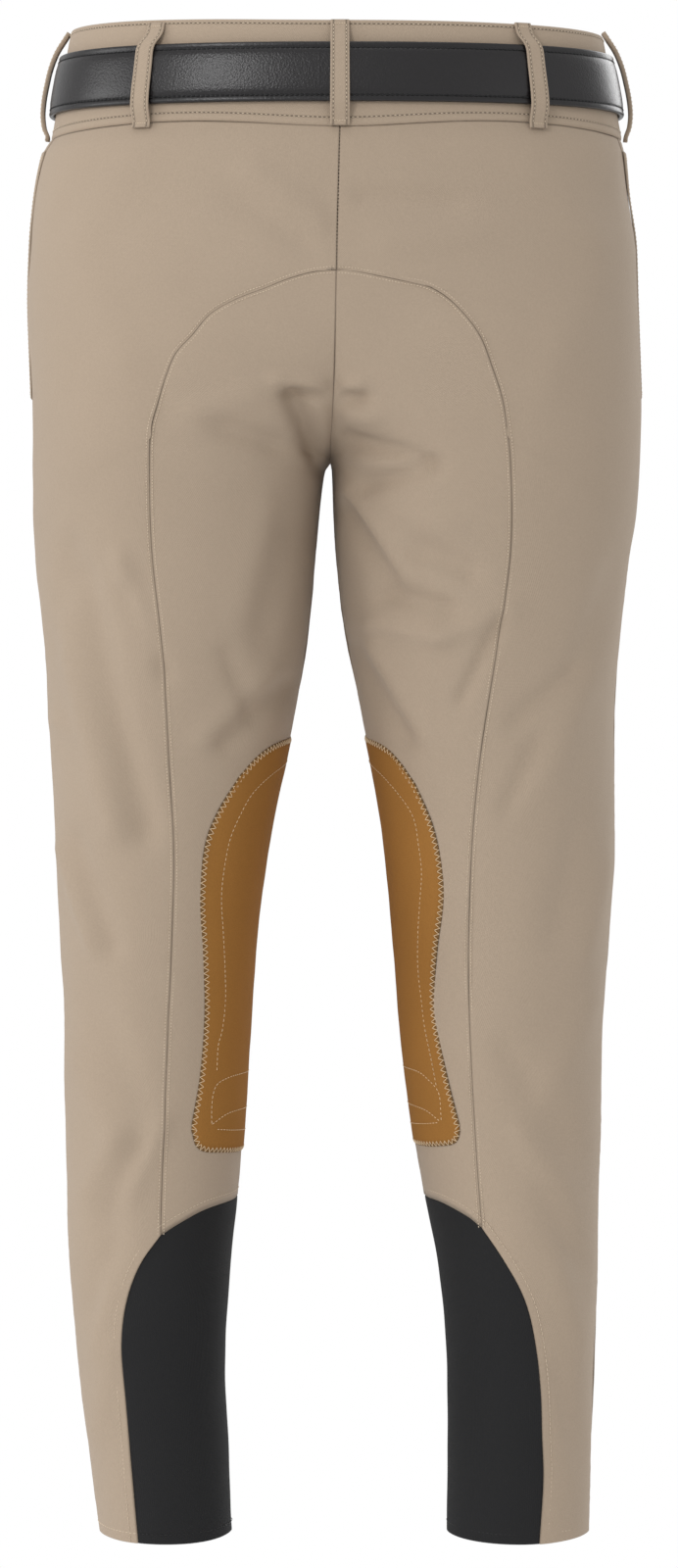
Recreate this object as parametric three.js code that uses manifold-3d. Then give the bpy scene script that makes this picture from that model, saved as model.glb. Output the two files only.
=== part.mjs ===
// Riding breeches with their own belt, filled out as worn, with no wearer.
// Millimetres, +Z up. The front of the garment faces -Y and the wearer's left is +X.
// The origin is the middle of the waist opening, at the middle height of the belt.
import * as THREE from 'three';
import { mergeVertices } from 'three/addons/utils/BufferGeometryUtils.js';
import Module from 'manifold-3d';

const wasm = await Module();
wasm.setup();

// Cloth and seams
const SEAM_GAP = 0.3;
const CLOTH = 1.6;
const SUEDE = 1.2;
const PATCH_LIFT = 0.9;
const TRIM_LIFT = 0.75;
const TRIM = 1.2;

// Levels
const WAIST_TOP = 31;
const FORK_Z = -230;
const FORK_HEIGHT = 150;
const FORK_SOFT = 0.06;
const ARCH_TOP_Z = -120;
const HEM_Z = -882;
const CALF_TOP_Z = -677;

// Waistband and belt
const BAND = 2.6;
const BAND_LIFT = 1.0;
const BELT = 3.4;
const BELT_LIFT = 0.8;
const BELT_BOTTOM = -19;
const BELT_TOP = 17;
const BELT_MIDDLE = (BELT_TOP + BELT_BOTTOM) / 2;
const BELT_WIDTH = BELT_TOP - BELT_BOTTOM;
const LOOP_WIDTH = 11.5;
const LOOP_CLOTH = 1.5;

// Buckle
const HEEL_BAR = { along: 16, out: 4.0, radius: 1.5 };
const TOE_BAR = { along: -18, out: 6.6, radius: 1.8 };
const PRONG_ROOT = 1.0;
const PRONG_SHANK = 1.3;
const PRONG_TURNS = [-160, -125, -90, -55, -20, 15, 50, 80];
const HOLE_SPACING = 25;
const HOLE_RADIUS = 2.2;
const TIP_REACH = 135;
const OVER_HEEL = 6.1;
const KEEPER_RISE = 1.5;

// Panel grids: how many steps each stretch of seam has
const STEPS = { centre: 3, arch: 11, seam: 13, calfTop: 8, calf: 8, calfFront: 5, fork: 9, across: 12, outer: 8 };

const SIDES = { left: 1, right: -1 };

const COLOURS = {
  cloth: { color: 0xaf9e8b, roughness: 0.85, metalness: 0 },
  suede: { color: 0x936329, roughness: 0.95, metalness: 0 },
  knit: { color: 0x2b2b2c, roughness: 0.9, metalness: 0 },
  leather: { color: 0x343334, roughness: 0.45, metalness: 0 },
  metal: { color: 0xc9c8c4, roughness: 0.3, metalness: 1 },
};

function table(names, rows) {
  const columns = names.split(' ');
  return rows.map((row) => Object.fromEntries(columns.map((name, i) => [name, row[i]])));
}

// Level sections: the line between the legs, each leg's outline from behind, the depth, and how
// square the section is (2 is an ellipse). Above the fork both inner outlines are the centre line.
const SECTIONS = table('z centre leftOuter leftInner rightInner rightOuter front back power', [
  [36, -0.6, 162.5, -0.6, -0.6, -159, -105, 105, 2.35],
  [-24, -0.6, 173.3, -0.6, -0.6, -170.4, -110, 112.2, 2.35],
  [-30, -0.6, 174.4, -0.6, -0.6, -171.5, -110.5, 112.9, 2.35],
  [-42, -0.2, 181, -0.2, -0.2, -174.8, -112, 116, 2.4],
  [-66, 0.3, 185.5, 0.3, 0.3, -176.6, -113.5, 121, 2.4],
  [-100, 1.2, 188.5, 1.2, 1.2, -181, -114, 126.5, 2.45],
  [-130, 1.7, 189.5, 1.7, 1.7, -182, -113.5, 130, 2.45],
  [-165, 2.5, 188.4, 2.5, 2.5, -183.2, -112, 133.5, 2.45],
  [-198, 3.6, 187.2, 3.6, 3.6, -184.2, -110.5, 131, 2.4],
  [-230, 5.3, 186.4, 5.3, 5.3, -183.6, -108, 125, 2.3],
  [-234, 5.3, 186.4, 8.2, 4.5, -183.4, -107.6, 123.8, 2.28],
  [-240, 5.3, 186.4, 9.4, 4.2, -183.2, -107, 122, 2.25],
  [-260, 5.3, 186.6, 11.8, 3.6, -181.8, -105, 115, 2.2],
  [-291, 5.3, 185, 14.4, 1.2, -177, -101.5, 105.5, 2.2],
  [-336, 5.3, 180.6, 19.2, -4.2, -172.2, -98, 96, 2.15],
  [-396, 5.3, 177, 30, -16.8, -168.6, -94, 84, 2.12],
  [-456, 5.3, 174, 42.6, -27.6, -168.6, -89, 76, 2.12],
  [-516, 5.3, 171, 51, -33.6, -165.6, -84, 70, 2.12],
  [-576, 5.3, 168.6, 55.2, -38.4, -161.4, -77, 65.5, 2.12],
  [-636, 5.3, 167.4, 58.8, -45.6, -160.2, -67, 68, 2.12],
  [-680, 5.3, 166.2, 62, -53, -158.5, -60.5, 71, 2.12],
  [-726, 5.3, 163.8, 66.6, -60.6, -157.8, -56, 72, 2.12],
  [-786, 5.3, 159, 69, -66, -155.4, -53, 66, 2.12],
  [-836, 5.3, 152.5, 66.6, -66, -153.8, -51.3, 58.5, 2.12],
  [-890, 5.3, 145.5, 64.5, -65.2, -152.3, -50, 51.5, 2.12],
]);

// Arched seam over the seat, from the centre back seam to the level of the fork
const ARCH = table('leftX leftZ rightX rightZ', [
  [14, -121, -10, -121],
  [29, -125, -23, -123.5],
  [44, -131, -38, -126.5],
  [62, -138, -51, -129],
  [77, -147, -63, -135.5],
  [87, -159, -74, -146],
  [97, -170, -84, -160],
  [103, -184, -91, -178],
  [108, -200, -97, -196],
  [112, -214, -100, -213],
  [113, -231, -102, -231],
]);

// The same seam down the back of the leg, to the stretch calf panel
const LEG_SEAM = table('z left right', [
  [-231, 113, -102],
  [-285, 112, -103],
  [-344, 106, -95],
  [-405, 102.5, -85.5],
  [-465, 99.5, -80],
  [-530, 101, -78],
  [-570, 103, -79],
  [-650, 106, -83],
  [-697, 107.5, -86],
]);

// Edge of the stretch calf panel, from the inner leg over its top and down to the hem
const CALF_TOP = table('leftX leftZ rightX rightZ', [
  [80, -683, -63, -680],
  [96, -691, -77, -687],
  [107.5, -698, -86, -694],
]);
const CALF_EDGE = table('leftX leftZ rightX rightZ', [
  [107.5, -698, -86, -694],
  [119, -714, -99, -713],
  [126, -730, -109, -730],
  [130.5, -750, -115, -746],
  [131, -771, -120, -773],
  [129, -798, -122, -794],
  [127, -823, -123, -819],
  [124, -862, -124, -845],
  [122, -886, -121.5, -886],
]);

// Edge of the suede knee patch, from the inner leg over its top, down, and along its foot
const PATCH_TOP = table('leftX leftZ rightX rightZ', [
  [39, -402, -27, -403],
  [49, -409, -36, -412],
  [60, -421, -46, -426],
]);
const PATCH_EDGE = table('leftX leftZ rightX rightZ', [
  [60, -421, -46, -426],
  [73, -443, -56, -450],
  [80, -461, -61, -471],
  [83.5, -494, -63, -494],
  [82, -528, -59, -528],
  [81, -564, -58, -562],
  [84, -604, -65, -602],
  [89, -634, -73, -634],
]);
const PATCH_FOOT = table('leftX leftZ rightX rightZ', [
  [89, -634, -73, -634],
  [85, -646, -71, -642],
  [70, -649, -60, -645],
]);
const PATCH_FOOT_Z = { left: -649, right: -645 };
const PATCH_TOP_Z = { left: -397, right: -396 };

// Largest folds: a soft ridge (height above 0) or trough (below 0) between two places on a face
const FOLDS = table('face x1 z1 x2 z2 width height', [
  ['back', 27, -198, 13, -232, 10, -5],
  ['back', 34, -192, 62, -212, 11, -2.5],
  ['back', -2, -209, -52, -233, 9, -3],
  ['back', -8, -240, -34, -292, 14, -3.5],
  ['back', -22, -306, -60, -332, 12, 2.5],
  ['back', -8, -338, -38, -392, 13, -2.5],
  ['back', 60, -381, 30, -362, 11, 2.5],
  ['back', 68, -402, 36, -380, 9, -2],
  ['back', 127, -303, 106, -361, 13, -2.5],
  ['back', 160, -366, 116, -444, 15, 3],
  ['back', 168, -464, 149, -521, 11, -2.5],
  ['back', -148, -361, -126, -420, 13, 2.5],
  ['back', -126, -370, -108, -438, 12, -2],
  ['back', 152, -672, 134, -640, 8, 2],
  ['back', 126, -670, 108, -634, 8, 2],
  ['front', 42, -206, 96, -178, 11, -3.5],
  ['front', -14, -216, -72, -192, 11, -3],
  ['front', 30, -238, 112, -222, 13, -3],
  ['front', -24, -244, -98, -234, 14, 2.5],
  ['front', 52, -300, 128, -352, 15, 2.5],
  ['front', -46, -316, -118, -372, 14, -2.5],
  ['front', 112, -518, 152, -546, 11, -3],
  ['front', 112, -572, 154, -560, 11, 2.5],
  ['front', -92, -524, -142, -546, 11, -2.5],
  ['front', -96, -586, -146, -568, 12, 2.5],
  ['front', 84, -742, 140, -716, 11, -2],
  ['front', -78, -752, -132, -728, 10, -2],
]);

function columnAt(rows, z, column) {
  const last = rows.length - 1;
  let i = 0;
  while (i < last - 1 && z < rows[i + 1].z) i += 1;
  const slope = (k) => (rows[k + 1][column] - rows[k][column]) / (rows[k + 1].z - rows[k].z);
  const tangent = (k) => {
    if (k === 0) return slope(0);
    if (k === last) return slope(last - 1);
    const above = slope(k - 1);
    const below = slope(k);
    return above * below <= 0 ? 0 : (2 * above * below) / (above + below);
  };
  const span = rows[i + 1].z - rows[i].z;
  const f = (z - rows[i].z) / span;
  const from = rows[i][column];
  const to = rows[i + 1][column];
  return from * (1 + 2 * f) * (1 - f) ** 2 + to * f * f * (3 - 2 * f)
    + tangent(i) * span * f * (1 - f) ** 2 + tangent(i + 1) * span * f * f * (f - 1);
}

// One leg's section at a level. Above the fork the two sections lean into each other and are cut
// at the centre line, and bridge says how much of the cleft between them is left open.
function legSection(side, z) {
  const read = (column) => columnAt(SECTIONS, z, column);
  const sign = SIDES[side];
  const centre = read('centre');
  const outer = sign * (read(`${side}Outer`) - centre);
  const inner = sign * (read(`${side}Inner`) - centre);
  const front = read('front');
  const back = read('back');
  const climb = Math.min(Math.max(z - FORK_Z, 0) / FORK_HEIGHT, 1);
  const rise = (Math.hypot(climb, FORK_SOFT) - FORK_SOFT) / (Math.hypot(1, FORK_SOFT) - FORK_SOFT);
  const lean = (1 - rise) ** 1.3;
  const above = z > FORK_Z;
  const halfWidth = above ? outer / (1 + lean) : (outer - inner) / 2;
  const middle = above ? lean * halfWidth : (outer + inner) / 2;
  const section = {
    sign,
    centre,
    halfWidth,
    middle,
    depthMiddle: (front + back) / 2,
    halfDepth: (back - front) / 2,
    power: read('power'),
    bridge: above ? (1 - rise) ** 2 : 1,
  };
  section.first = above ? angleAt(section, Math.min(middle, halfWidth)) : 0;
  return section;
}

// Angle round the section, from the inner side over the front, at a distance inwards of its middle
function angleAt(section, inwards) {
  const share = Math.min(Math.abs(inwards) / section.halfWidth, 1);
  const reach = section.halfDepth * (1 - share ** section.power) ** (1 / section.power);
  return Math.atan2(reach, inwards);
}

// Share of the way round from the centre line (0) to the outer side (1) is spread over the angles
// left by the cut at the centre line. A narrow cut moves only the places next to it.
const cutPower = (first) => 1 + 11 * Math.max(0, 1 - first / 1.2) ** 4;

function angleOf({ first }, round) {
  const share = 1 - Math.abs(round - 1);
  const turned = Math.PI * share + first * (1 - share) ** cutPower(first);
  return round <= 1 ? turned : 2 * Math.PI - turned;
}

function shareAt({ first }, angle) {
  const power = cutPower(first);
  let share = (angle - first) / (Math.PI - first);
  for (let i = 0; i < 20; i += 1) {
    const miss = Math.PI * share + first * (1 - share) ** power - angle;
    const slope = Math.PI - power * first * (1 - share) ** (power - 1);
    share = Math.min(Math.max(share - miss / slope, 0), 1);
  }
  return share;
}

function skin(section, angle, z) {
  const { sign, centre, halfWidth, middle, depthMiddle, halfDepth, power, bridge } = section;
  const cos = Math.cos(angle);
  const sin = Math.sin(angle);
  const radius = (Math.abs(cos / halfWidth) ** power + Math.abs(sin / halfDepth) ** power) ** (-1 / power);
  let reach = radius * Math.abs(sin);
  if (cos > 0) reach = halfDepth - bridge * (halfDepth - reach);
  return new THREE.Vector3(centre + sign * (middle - radius * cos), depthMiddle - Math.sign(sin) * reach, z);
}

function foldAt(face, x, z) {
  let lift = 0;
  for (const fold of FOLDS) {
    if (fold.face !== face) continue;
    const runX = fold.x2 - fold.x1;
    const runZ = fold.z2 - fold.z1;
    const length = Math.hypot(runX, runZ);
    const along = ((x - fold.x1) * runX + (z - fold.z1) * runZ) / length;
    const across = ((x - fold.x1) * runZ - (z - fold.z1) * runX) / length;
    const beyond = Math.max(-along, along - length, 0);
    lift += fold.height * Math.exp(-((across / fold.width) ** 2) - (beyond / (1.4 * fold.width)) ** 2);
  }
  return lift;
}

// A place on the garment: round runs 0 at the inner front, 1 at the outer side, 2 at the inner back.
// Below the fork it also runs on past 0 over the inner leg, where -0.5 is the same as 1.5.
function place(side, round, z, out = 0) {
  const section = legSection(side, z);
  const angle = angleOf(section, round);
  const point = skin(section, angle, z);
  const step = 0.004;
  const rise = 0.8;
  const round1 = skin(section, angle + step, z).sub(skin(section, angle - step, z));
  const up = skin(legSection(side, z + rise), angle, z + rise)
    .sub(skin(legSection(side, z - rise), angle, z - rise));
  const normal = round1.cross(up).normalize();
  const outwards = new THREE.Vector3(-section.sign * Math.cos(angle), -Math.sin(angle), 0);
  if (normal.dot(outwards) < 0) normal.negate();
  const face = Math.sin(angle) >= 0 ? 'front' : 'back';
  const fromCentre = z > FORK_Z ? 1 - Math.exp(-(((point.x - section.centre) / 7) ** 2)) : 1;
  const fade = Math.min(1, Math.abs(Math.sin(angle)) * 2) * fromCentre;
  return { point: point.addScaledVector(normal, foldAt(face, point.x, z) * fade + out), normal };
}

function roundAtX(side, face, x, z) {
  const section = legSection(side, z);
  const inwards = section.middle - section.sign * (x - section.centre);
  const angle = angleAt(section, Math.max(Math.min(inwards, section.halfWidth), -section.halfWidth));
  const share = shareAt(section, angle);
  return face === 'front' ? share : 2 - share;
}

// Seam stations are places in the plane of round and z; a curve through them is stepped evenly
const ROUND_SCALE = 180;

function steppedCurve(stations, steps) {
  const points = stations.map((s) => new THREE.Vector3(s.round * ROUND_SCALE, s.z, 0));
  const curve = new THREE.CatmullRomCurve3(points, false, 'centripetal');
  return curve.getSpacedPoints(steps).map((p) => ({ round: p.x / ROUND_SCALE, z: p.y }));
}

function straight(from, to, steps) {
  return Array.from({ length: steps + 1 }, (_, i) => ({
    round: from.round + ((to.round - from.round) * i) / steps,
    z: from.z + ((to.z - from.z) * i) / steps,
  }));
}

function backStations(side, rows) {
  return rows.map((row) => {
    const z = row[`${side}Z`];
    return { round: roundAtX(side, 'back', row[`${side}X`], z), z };
  });
}

const frontOf = (stations) => stations.map((s) => ({ round: 2 - s.round, z: s.z }));
const overInnerLeg = (stations) => stations.map((s) => ({ round: s.round - 2, z: s.z }));

function hemZ(round) {
  const toBack = Math.sin(Math.PI * round) < 0;
  return HEM_Z - (toBack ? 4.5 : 2) * Math.sin(Math.PI * round) ** 2;
}

function waistSeamZ(round) {
  return -30.5 - 2.5 * Math.cos(Math.PI * round) ** 2 + 1.5 * Math.sin(Math.PI * round) ** 2;
}

function waistTopZ(side, round) {
  return WAIST_TOP + (side === 'left' ? 3 : -0.8) * Math.sin((Math.PI * round) / 2) ** 2;
}

// The side seam leans a little to the back below the waist, where the pocket mouth starts
function sideRound(z) {
  return 1 + 0.1 * Math.exp(-(((z + 30) / 60) ** 2));
}

function seamLines(side) {
  const archTop = { round: 2, z: ARCH_TOP_Z };
  const waistBack = { round: 2, z: waistSeamZ(2) };
  const waistFront = { round: 0, z: waistSeamZ(0) };
  const centreBack = straight(waistBack, archTop, STEPS.centre);
  const arch = [archTop, ...backStations(side, ARCH)];
  const legEnd = backStations(side, CALF_TOP).at(-1);
  const legSeam = Array.from({ length: STEPS.seam + 1 }, (_, i) => {
    const f = i / STEPS.seam;
    const z = arch.at(-1).z + (legEnd.z - arch.at(-1).z) * f;
    return { round: roundAtX(side, 'back', columnAt(LEG_SEAM, z, side), z), z };
  });
  legSeam[STEPS.seam] = legEnd;
  const calfTop = steppedCurve([{ round: 2, z: CALF_TOP_Z }, ...backStations(side, CALF_TOP)], STEPS.calfTop);
  const calfFrontTop = steppedCurve(
    frontOf([{ round: 2, z: CALF_TOP_Z }, ...backStations(side, CALF_TOP)]),
    STEPS.calfFront,
  );
  const calfEdge = steppedCurve(backStations(side, CALF_EDGE), STEPS.calf);
  calfEdge[STEPS.calf].z = hemZ(calfEdge[STEPS.calf].round);
  const forkSteps = [0, 0.17, 0.34, 0.5, 0.65, 0.78, 0.88, 0.945, 0.985, 1];
  const fork = forkSteps.map((f) => ({ round: 0, z: waistFront.z + (FORK_Z - waistFront.z) * f }));
  const seatFork = arch.slice(1).map((_, i, all) => {
    const f = 1 - (1 - i / (all.length - 1)) ** 1.7;
    return { round: 2, z: ARCH_TOP_Z + (FORK_Z - ARCH_TOP_Z) * f };
  });
  const inseam = straight({ round: 0, z: FORK_Z }, { round: 0, z: CALF_TOP_Z }, STEPS.seam);
  const rows = STEPS.centre + STEPS.arch + STEPS.seam + STEPS.calf;
  const sideSeam = Array.from({ length: rows + 1 }, (_, i) => {
    const top = waistSeamZ(1);
    const z = top + ((hemZ(1) - top) * i) / rows;
    return { round: sideRound(z), z };
  });
  return { centreBack, arch, legSeam, calfTop, calfFrontTop, calfEdge, fork, seatFork, inseam, sideSeam };
}

const chain = (...runs) => runs.flatMap((run, i) => (i === 0 ? run : run.slice(1)));

// Fills four edges: left and right run downwards, top and foot run from left to right
function fill(left, right, top, foot) {
  const rows = left.length - 1;
  const columns = top.length - 1;
  const mix = (key, i, j) => {
    const down = i / rows;
    const over = j / columns;
    return (1 - over) * left[i][key] + over * right[i][key]
      + (1 - down) * top[j][key] + down * foot[j][key]
      - (1 - down) * ((1 - over) * top[0][key] + over * top[columns][key])
      - down * ((1 - over) * foot[0][key] + over * foot[columns][key]);
  };
  return left.map((_, i) => top.map((__, j) => ({ round: mix('round', i, j), z: mix('z', i, j) })));
}

// A wall over a grid of stations. Its edges draw back by half a seam gap, square to each edge.
function wall(side, stations, out, thickness) {
  const places = stations.map((row) => row.map((s) => place(side, s.round, s.z, out)));
  const rows = places.length - 1;
  const columns = places[0].length - 1;
  const at = (i, j) => places[Math.min(Math.max(i, 0), rows)][Math.min(Math.max(j, 0), columns)];
  const draw = (i, j, alongI, alongJ, inI, inJ) => {
    const edge = at(i + alongI, j + alongJ).point.clone().sub(at(i - alongI, j - alongJ).point);
    const inward = at(i, j).normal.clone().cross(edge).normalize();
    const inside = at(i + inI, j + inJ).point.clone().sub(at(i, j).point);
    return inward.multiplyScalar((Math.sign(inward.dot(inside)) * SEAM_GAP) / 2);
  };
  const outer = [];
  const inner = [];
  for (let i = 0; i <= rows; i += 1) {
    outer.push([]);
    inner.push([]);
    for (let j = 0; j <= columns; j += 1) {
      const point = at(i, j).point.clone();
      if (i === 0) point.add(draw(i, j, 0, 1, 1, 0));
      if (i === rows) point.add(draw(i, j, 0, 1, -1, 0));
      if (j === 0) point.add(draw(i, j, 1, 0, 0, 1));
      if (j === columns) point.add(draw(i, j, 1, 0, 0, -1));
      outer[i].push(point);
      inner[i].push(point.clone().addScaledVector(at(i, j).normal, -thickness));
    }
  }
  return shell(outer, inner);
}

function shell(outer, inner) {
  const rows = outer.length;
  const columns = outer[0].length;
  const points = [...outer.flat(), ...inner.flat()];
  const top = (i, j) => i * columns + j;
  const under = (i, j) => rows * columns + i * columns + j;
  const faces = [];
  const quad = (a, b, c, d) => faces.push(a, b, c, a, c, d);
  for (let i = 0; i < rows - 1; i += 1) {
    for (let j = 0; j < columns - 1; j += 1) {
      quad(top(i, j), top(i + 1, j), top(i + 1, j + 1), top(i, j + 1));
      faces.push(under(i, j), under(i + 1, j + 1), under(i + 1, j));
      faces.push(under(i, j), under(i, j + 1), under(i + 1, j + 1));
    }
  }
  for (let i = 0; i < rows - 1; i += 1) {
    quad(top(i, 0), under(i, 0), under(i + 1, 0), top(i + 1, 0));
    quad(top(i + 1, columns - 1), under(i + 1, columns - 1), under(i, columns - 1), top(i, columns - 1));
  }
  for (let j = 0; j < columns - 1; j += 1) {
    quad(top(0, j + 1), under(0, j + 1), under(0, j), top(0, j));
    quad(top(rows - 1, j), under(rows - 1, j), under(rows - 1, j + 1), top(rows - 1, j + 1));
  }
  return solid(points, faces);
}

// A closed body from points and faces, turned so that its faces point out
function solid(points, faces) {
  let volume = 0;
  for (let i = 0; i < faces.length; i += 3) {
    const [a, b, c] = [points[faces[i]], points[faces[i + 1]], points[faces[i + 2]]];
    volume += a.dot(b.clone().cross(c));
  }
  const index = volume > 0 ? faces : faces.slice().reverse();
  const geometry = new THREE.BufferGeometry();
  geometry.setAttribute('position', new THREE.Float32BufferAttribute(points.flatMap((p) => p.toArray()), 3));
  geometry.setIndex(index);
  geometry.computeVertexNormals();
  return geometry;
}

// A round bar that closes on itself
function loopedBar(path, radii, sides) {
  const count = path.length;
  const rings = path.map((point, i) => {
    const before = path[(i + count - 1) % count];
    const after = path[(i + 1) % count];
    const along = after.clone().sub(before).normalize();
    const cross = new THREE.Vector3(0, 0, 1).cross(along);
    const wide = cross.length() > 0.2 ? cross.normalize() : new THREE.Vector3(0, 1, 0);
    const high = along.clone().cross(wide).normalize();
    return Array.from({ length: sides }, (_, k) => {
      const turn = (2 * Math.PI * k) / sides;
      return point.clone().addScaledVector(wide, radii[i] * Math.cos(turn))
        .addScaledVector(high, radii[i] * Math.sin(turn));
    });
  });
  const points = rings.flat();
  const faces = [];
  for (let i = 0; i < count; i += 1) {
    for (let k = 0; k < sides; k += 1) {
      const a = i * sides + k;
      const b = i * sides + ((k + 1) % sides);
      const c = ((i + 1) % count) * sides + ((k + 1) % sides);
      const d = ((i + 1) % count) * sides + k;
      faces.push(a, b, c, a, c, d);
    }
  }
  return { points, faces };
}

// Cloth panels of each leg
function seatedPanels(side) {
  const lines = seamLines(side);
  const hem = (from, to, steps) => straight(from, to, steps).map((s) => ({ round: s.round, z: hemZ(s.round) }));
  const waist = (from, to, steps) => straight(from, to, steps)
    .map((s) => ({ round: s.round, z: waistSeamZ(s.round) }));

  const sideTop = lines.sideSeam[0];
  const sideFoot = lines.sideSeam.at(-1);
  const calfFoot = lines.calfEdge.at(-1);

  const backInner = chain(lines.centreBack, lines.arch, lines.legSeam, lines.calfEdge);
  const back = fill(
    lines.sideSeam,
    backInner,
    waist(sideTop, lines.centreBack[0], STEPS.outer),
    hem(sideFoot, calfFoot, STEPS.outer),
  );

  const seatOuter = chain(lines.arch.slice(1), lines.legSeam);
  const innerLegBack = lines.inseam.map((s) => ({ round: 2, z: s.z }));
  const seatInner = chain(lines.seatFork, innerLegBack);
  const seat = fill(
    seatOuter,
    seatInner,
    straight(lines.arch[1], lines.arch[0], STEPS.calfTop),
    lines.calfTop.slice().reverse(),
  );

  const frontEdge = frontOf(lines.calfEdge);
  const frontInner = chain(lines.fork, lines.inseam, lines.calfFrontTop, frontEdge);
  const frontFoot = frontEdge.at(-1);
  frontFoot.z = hemZ(frontFoot.round);
  const front = fill(
    frontInner,
    lines.sideSeam,
    waist(lines.fork[0], sideTop, STEPS.across),
    hem(frontFoot, sideFoot, STEPS.across),
  );

  const calfLeft = overInnerLeg(lines.calfEdge);
  const calf = fill(
    calfLeft,
    frontEdge,
    chain(overInnerLeg(lines.calfTop.slice().reverse()), lines.calfFrontTop),
    hem(calfLeft.at(-1), frontFoot, STEPS.calfTop + STEPS.calfFront),
  );
  return { front, back, seat, calf };
}

function kneePatch(side) {
  const rows = 14;
  const half = 6;
  const topCurve = steppedCurve(
    [{ round: 2, z: PATCH_TOP_Z[side] }, ...backStations(side, PATCH_TOP)],
    half,
  );
  const edge = steppedCurve(backStations(side, PATCH_EDGE), rows);
  const footCurve = steppedCurve(
    [...backStations(side, PATCH_FOOT), { round: 2, z: PATCH_FOOT_Z[side] }],
    half,
  ).reverse();
  const mirrored = (stations) => [
    ...overInnerLeg(stations.slice().reverse()),
    ...frontOf(stations).slice(1),
  ];
  return fill(overInnerLeg(edge), frontOf(edge), mirrored(topCurve), mirrored(footCurve));
}

function waistband(side) {
  const columns = 22;
  const line = (height) => Array.from({ length: columns + 1 }, (_, j) => {
    const round = (2 * j) / columns;
    return { round, z: height(round) };
  });
  const top = line((round) => waistTopZ(side, round));
  const foot = line((round) => waistSeamZ(round));
  return [0, 1 / 3, 2 / 3, 1].map((f) => top.map((s, j) => ({ round: s.round, z: s.z + (foot[j].z - s.z) * f })));
}

// The fly laps from the wearer's left over the centre front, with a rounded foot
function flyLap() {
  const width = 38;
  const foot = -176;
  const bend = 44;
  const top = waistSeamZ(0) - 1;
  const rows = 12;
  const columns = 4;
  const outer = [];
  const inner = [];
  for (let i = 0; i <= rows; i += 1) {
    const z = top + ((foot - top) * i) / rows;
    const low = Math.max(0, (foot + bend - z) / bend);
    const reach = 6 + (width - 6) * Math.sqrt(Math.max(0, 1 - low ** 2));
    outer.push([]);
    inner.push([]);
    for (let j = 0; j <= columns; j += 1) {
      const centre = columnAt(SECTIONS, z, 'centre');
      const x = centre - 5 + ((reach + 5) * j) / columns;
      const side = x < centre ? 'right' : 'left';
      const { point, normal } = place(side, roundAtX(side, 'front', x, z), z, TRIM_LIFT + TRIM);
      outer[i].push(point);
      inner[i].push(point.clone().addScaledVector(normal, -TRIM));
    }
  }
  return shell(outer, inner);
}

// The folded front edge of the side pocket's mouth, along the side seam
function pocketMouth(side) {
  const width = 10;
  const top = -41;
  const length = 150;
  const rows = 8;
  const columns = 2;
  const outer = [];
  const inner = [];
  for (let i = 0; i <= rows; i += 1) {
    const z = top - (length * i) / rows;
    const seam = place(side, sideRound(z), z).point;
    const step = 0.01;
    const pace = seam.distanceTo(place(side, sideRound(z) - step, z).point) / step;
    outer.push([]);
    inner.push([]);
    for (let j = 0; j <= columns; j += 1) {
      const round = sideRound(z) - (0.5 + (width * j) / columns) / pace;
      const { point, normal } = place(side, round, z, TRIM_LIFT + TRIM);
      outer[i].push(point);
      inner[i].push(point.clone().addScaledVector(normal, -TRIM));
    }
  }
  return shell(outer, inner);
}

// Belt space: along the waistband from the centre front to the wearer's left, up, and out from it
const RING_STEPS = 480;
const ringPlace = (turn, z, out) => {
  const wrapped = ((turn % 4) + 4) % 4;
  return wrapped <= 2 ? place('left', wrapped, z, out) : place('right', 4 - wrapped, z, out);
};
const ringLengths = (() => {
  const lengths = [0];
  let before = ringPlace(0, BELT_MIDDLE, BAND_LIFT).point;
  for (let i = 1; i <= RING_STEPS; i += 1) {
    const point = ringPlace((4 * i) / RING_STEPS, BELT_MIDDLE, BAND_LIFT).point;
    lengths.push(lengths[i - 1] + point.distanceTo(before));
    before = point;
  }
  return lengths;
})();
const RING = ringLengths.at(-1);
const CENTRE_BACK = ringLengths[RING_STEPS / 2];

function ringTurn(along) {
  const wrapped = ((along % RING) + RING) % RING;
  let i = 0;
  while (i < RING_STEPS - 1 && ringLengths[i + 1] < wrapped) i += 1;
  const f = (wrapped - ringLengths[i]) / (ringLengths[i + 1] - ringLengths[i]);
  return (4 * (i + f)) / RING_STEPS;
}

function fromBelt({ x: along, y: height, z: out }) {
  return ringPlace(ringTurn(along), height, BAND_LIFT + out).point;
}

const beltSolid = ({ points, faces }) => solid(points.map(fromBelt), faces);

// An outline of height and out, drawn along the belt for a width
function alongBelt(outline, holes, from, width) {
  const shape = new THREE.Shape(outline.map(([height, out]) => new THREE.Vector2(height, out)));
  shape.holes = holes.map((hole) => new THREE.Path(hole.map(([height, out]) => new THREE.Vector2(height, out))));
  const geometry = new THREE.ExtrudeGeometry(shape, { depth: width, bevelEnabled: false, steps: 1 });
  const { points, faces } = merged(geometry);
  return beltSolid({ points: points.map((p) => new THREE.Vector3(from + p.z, p.x, p.y)), faces });
}

function merged(geometry) {
  geometry.deleteAttribute('normal');
  geometry.deleteAttribute('uv');
  const clean = mergeVertices(geometry, 1e-4);
  const position = clean.getAttribute('position');
  const points = Array.from({ length: position.count }, (_, i) => (
    new THREE.Vector3().fromBufferAttribute(position, i)));
  return { points, faces: Array.from(clean.index.array) };
}

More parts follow.
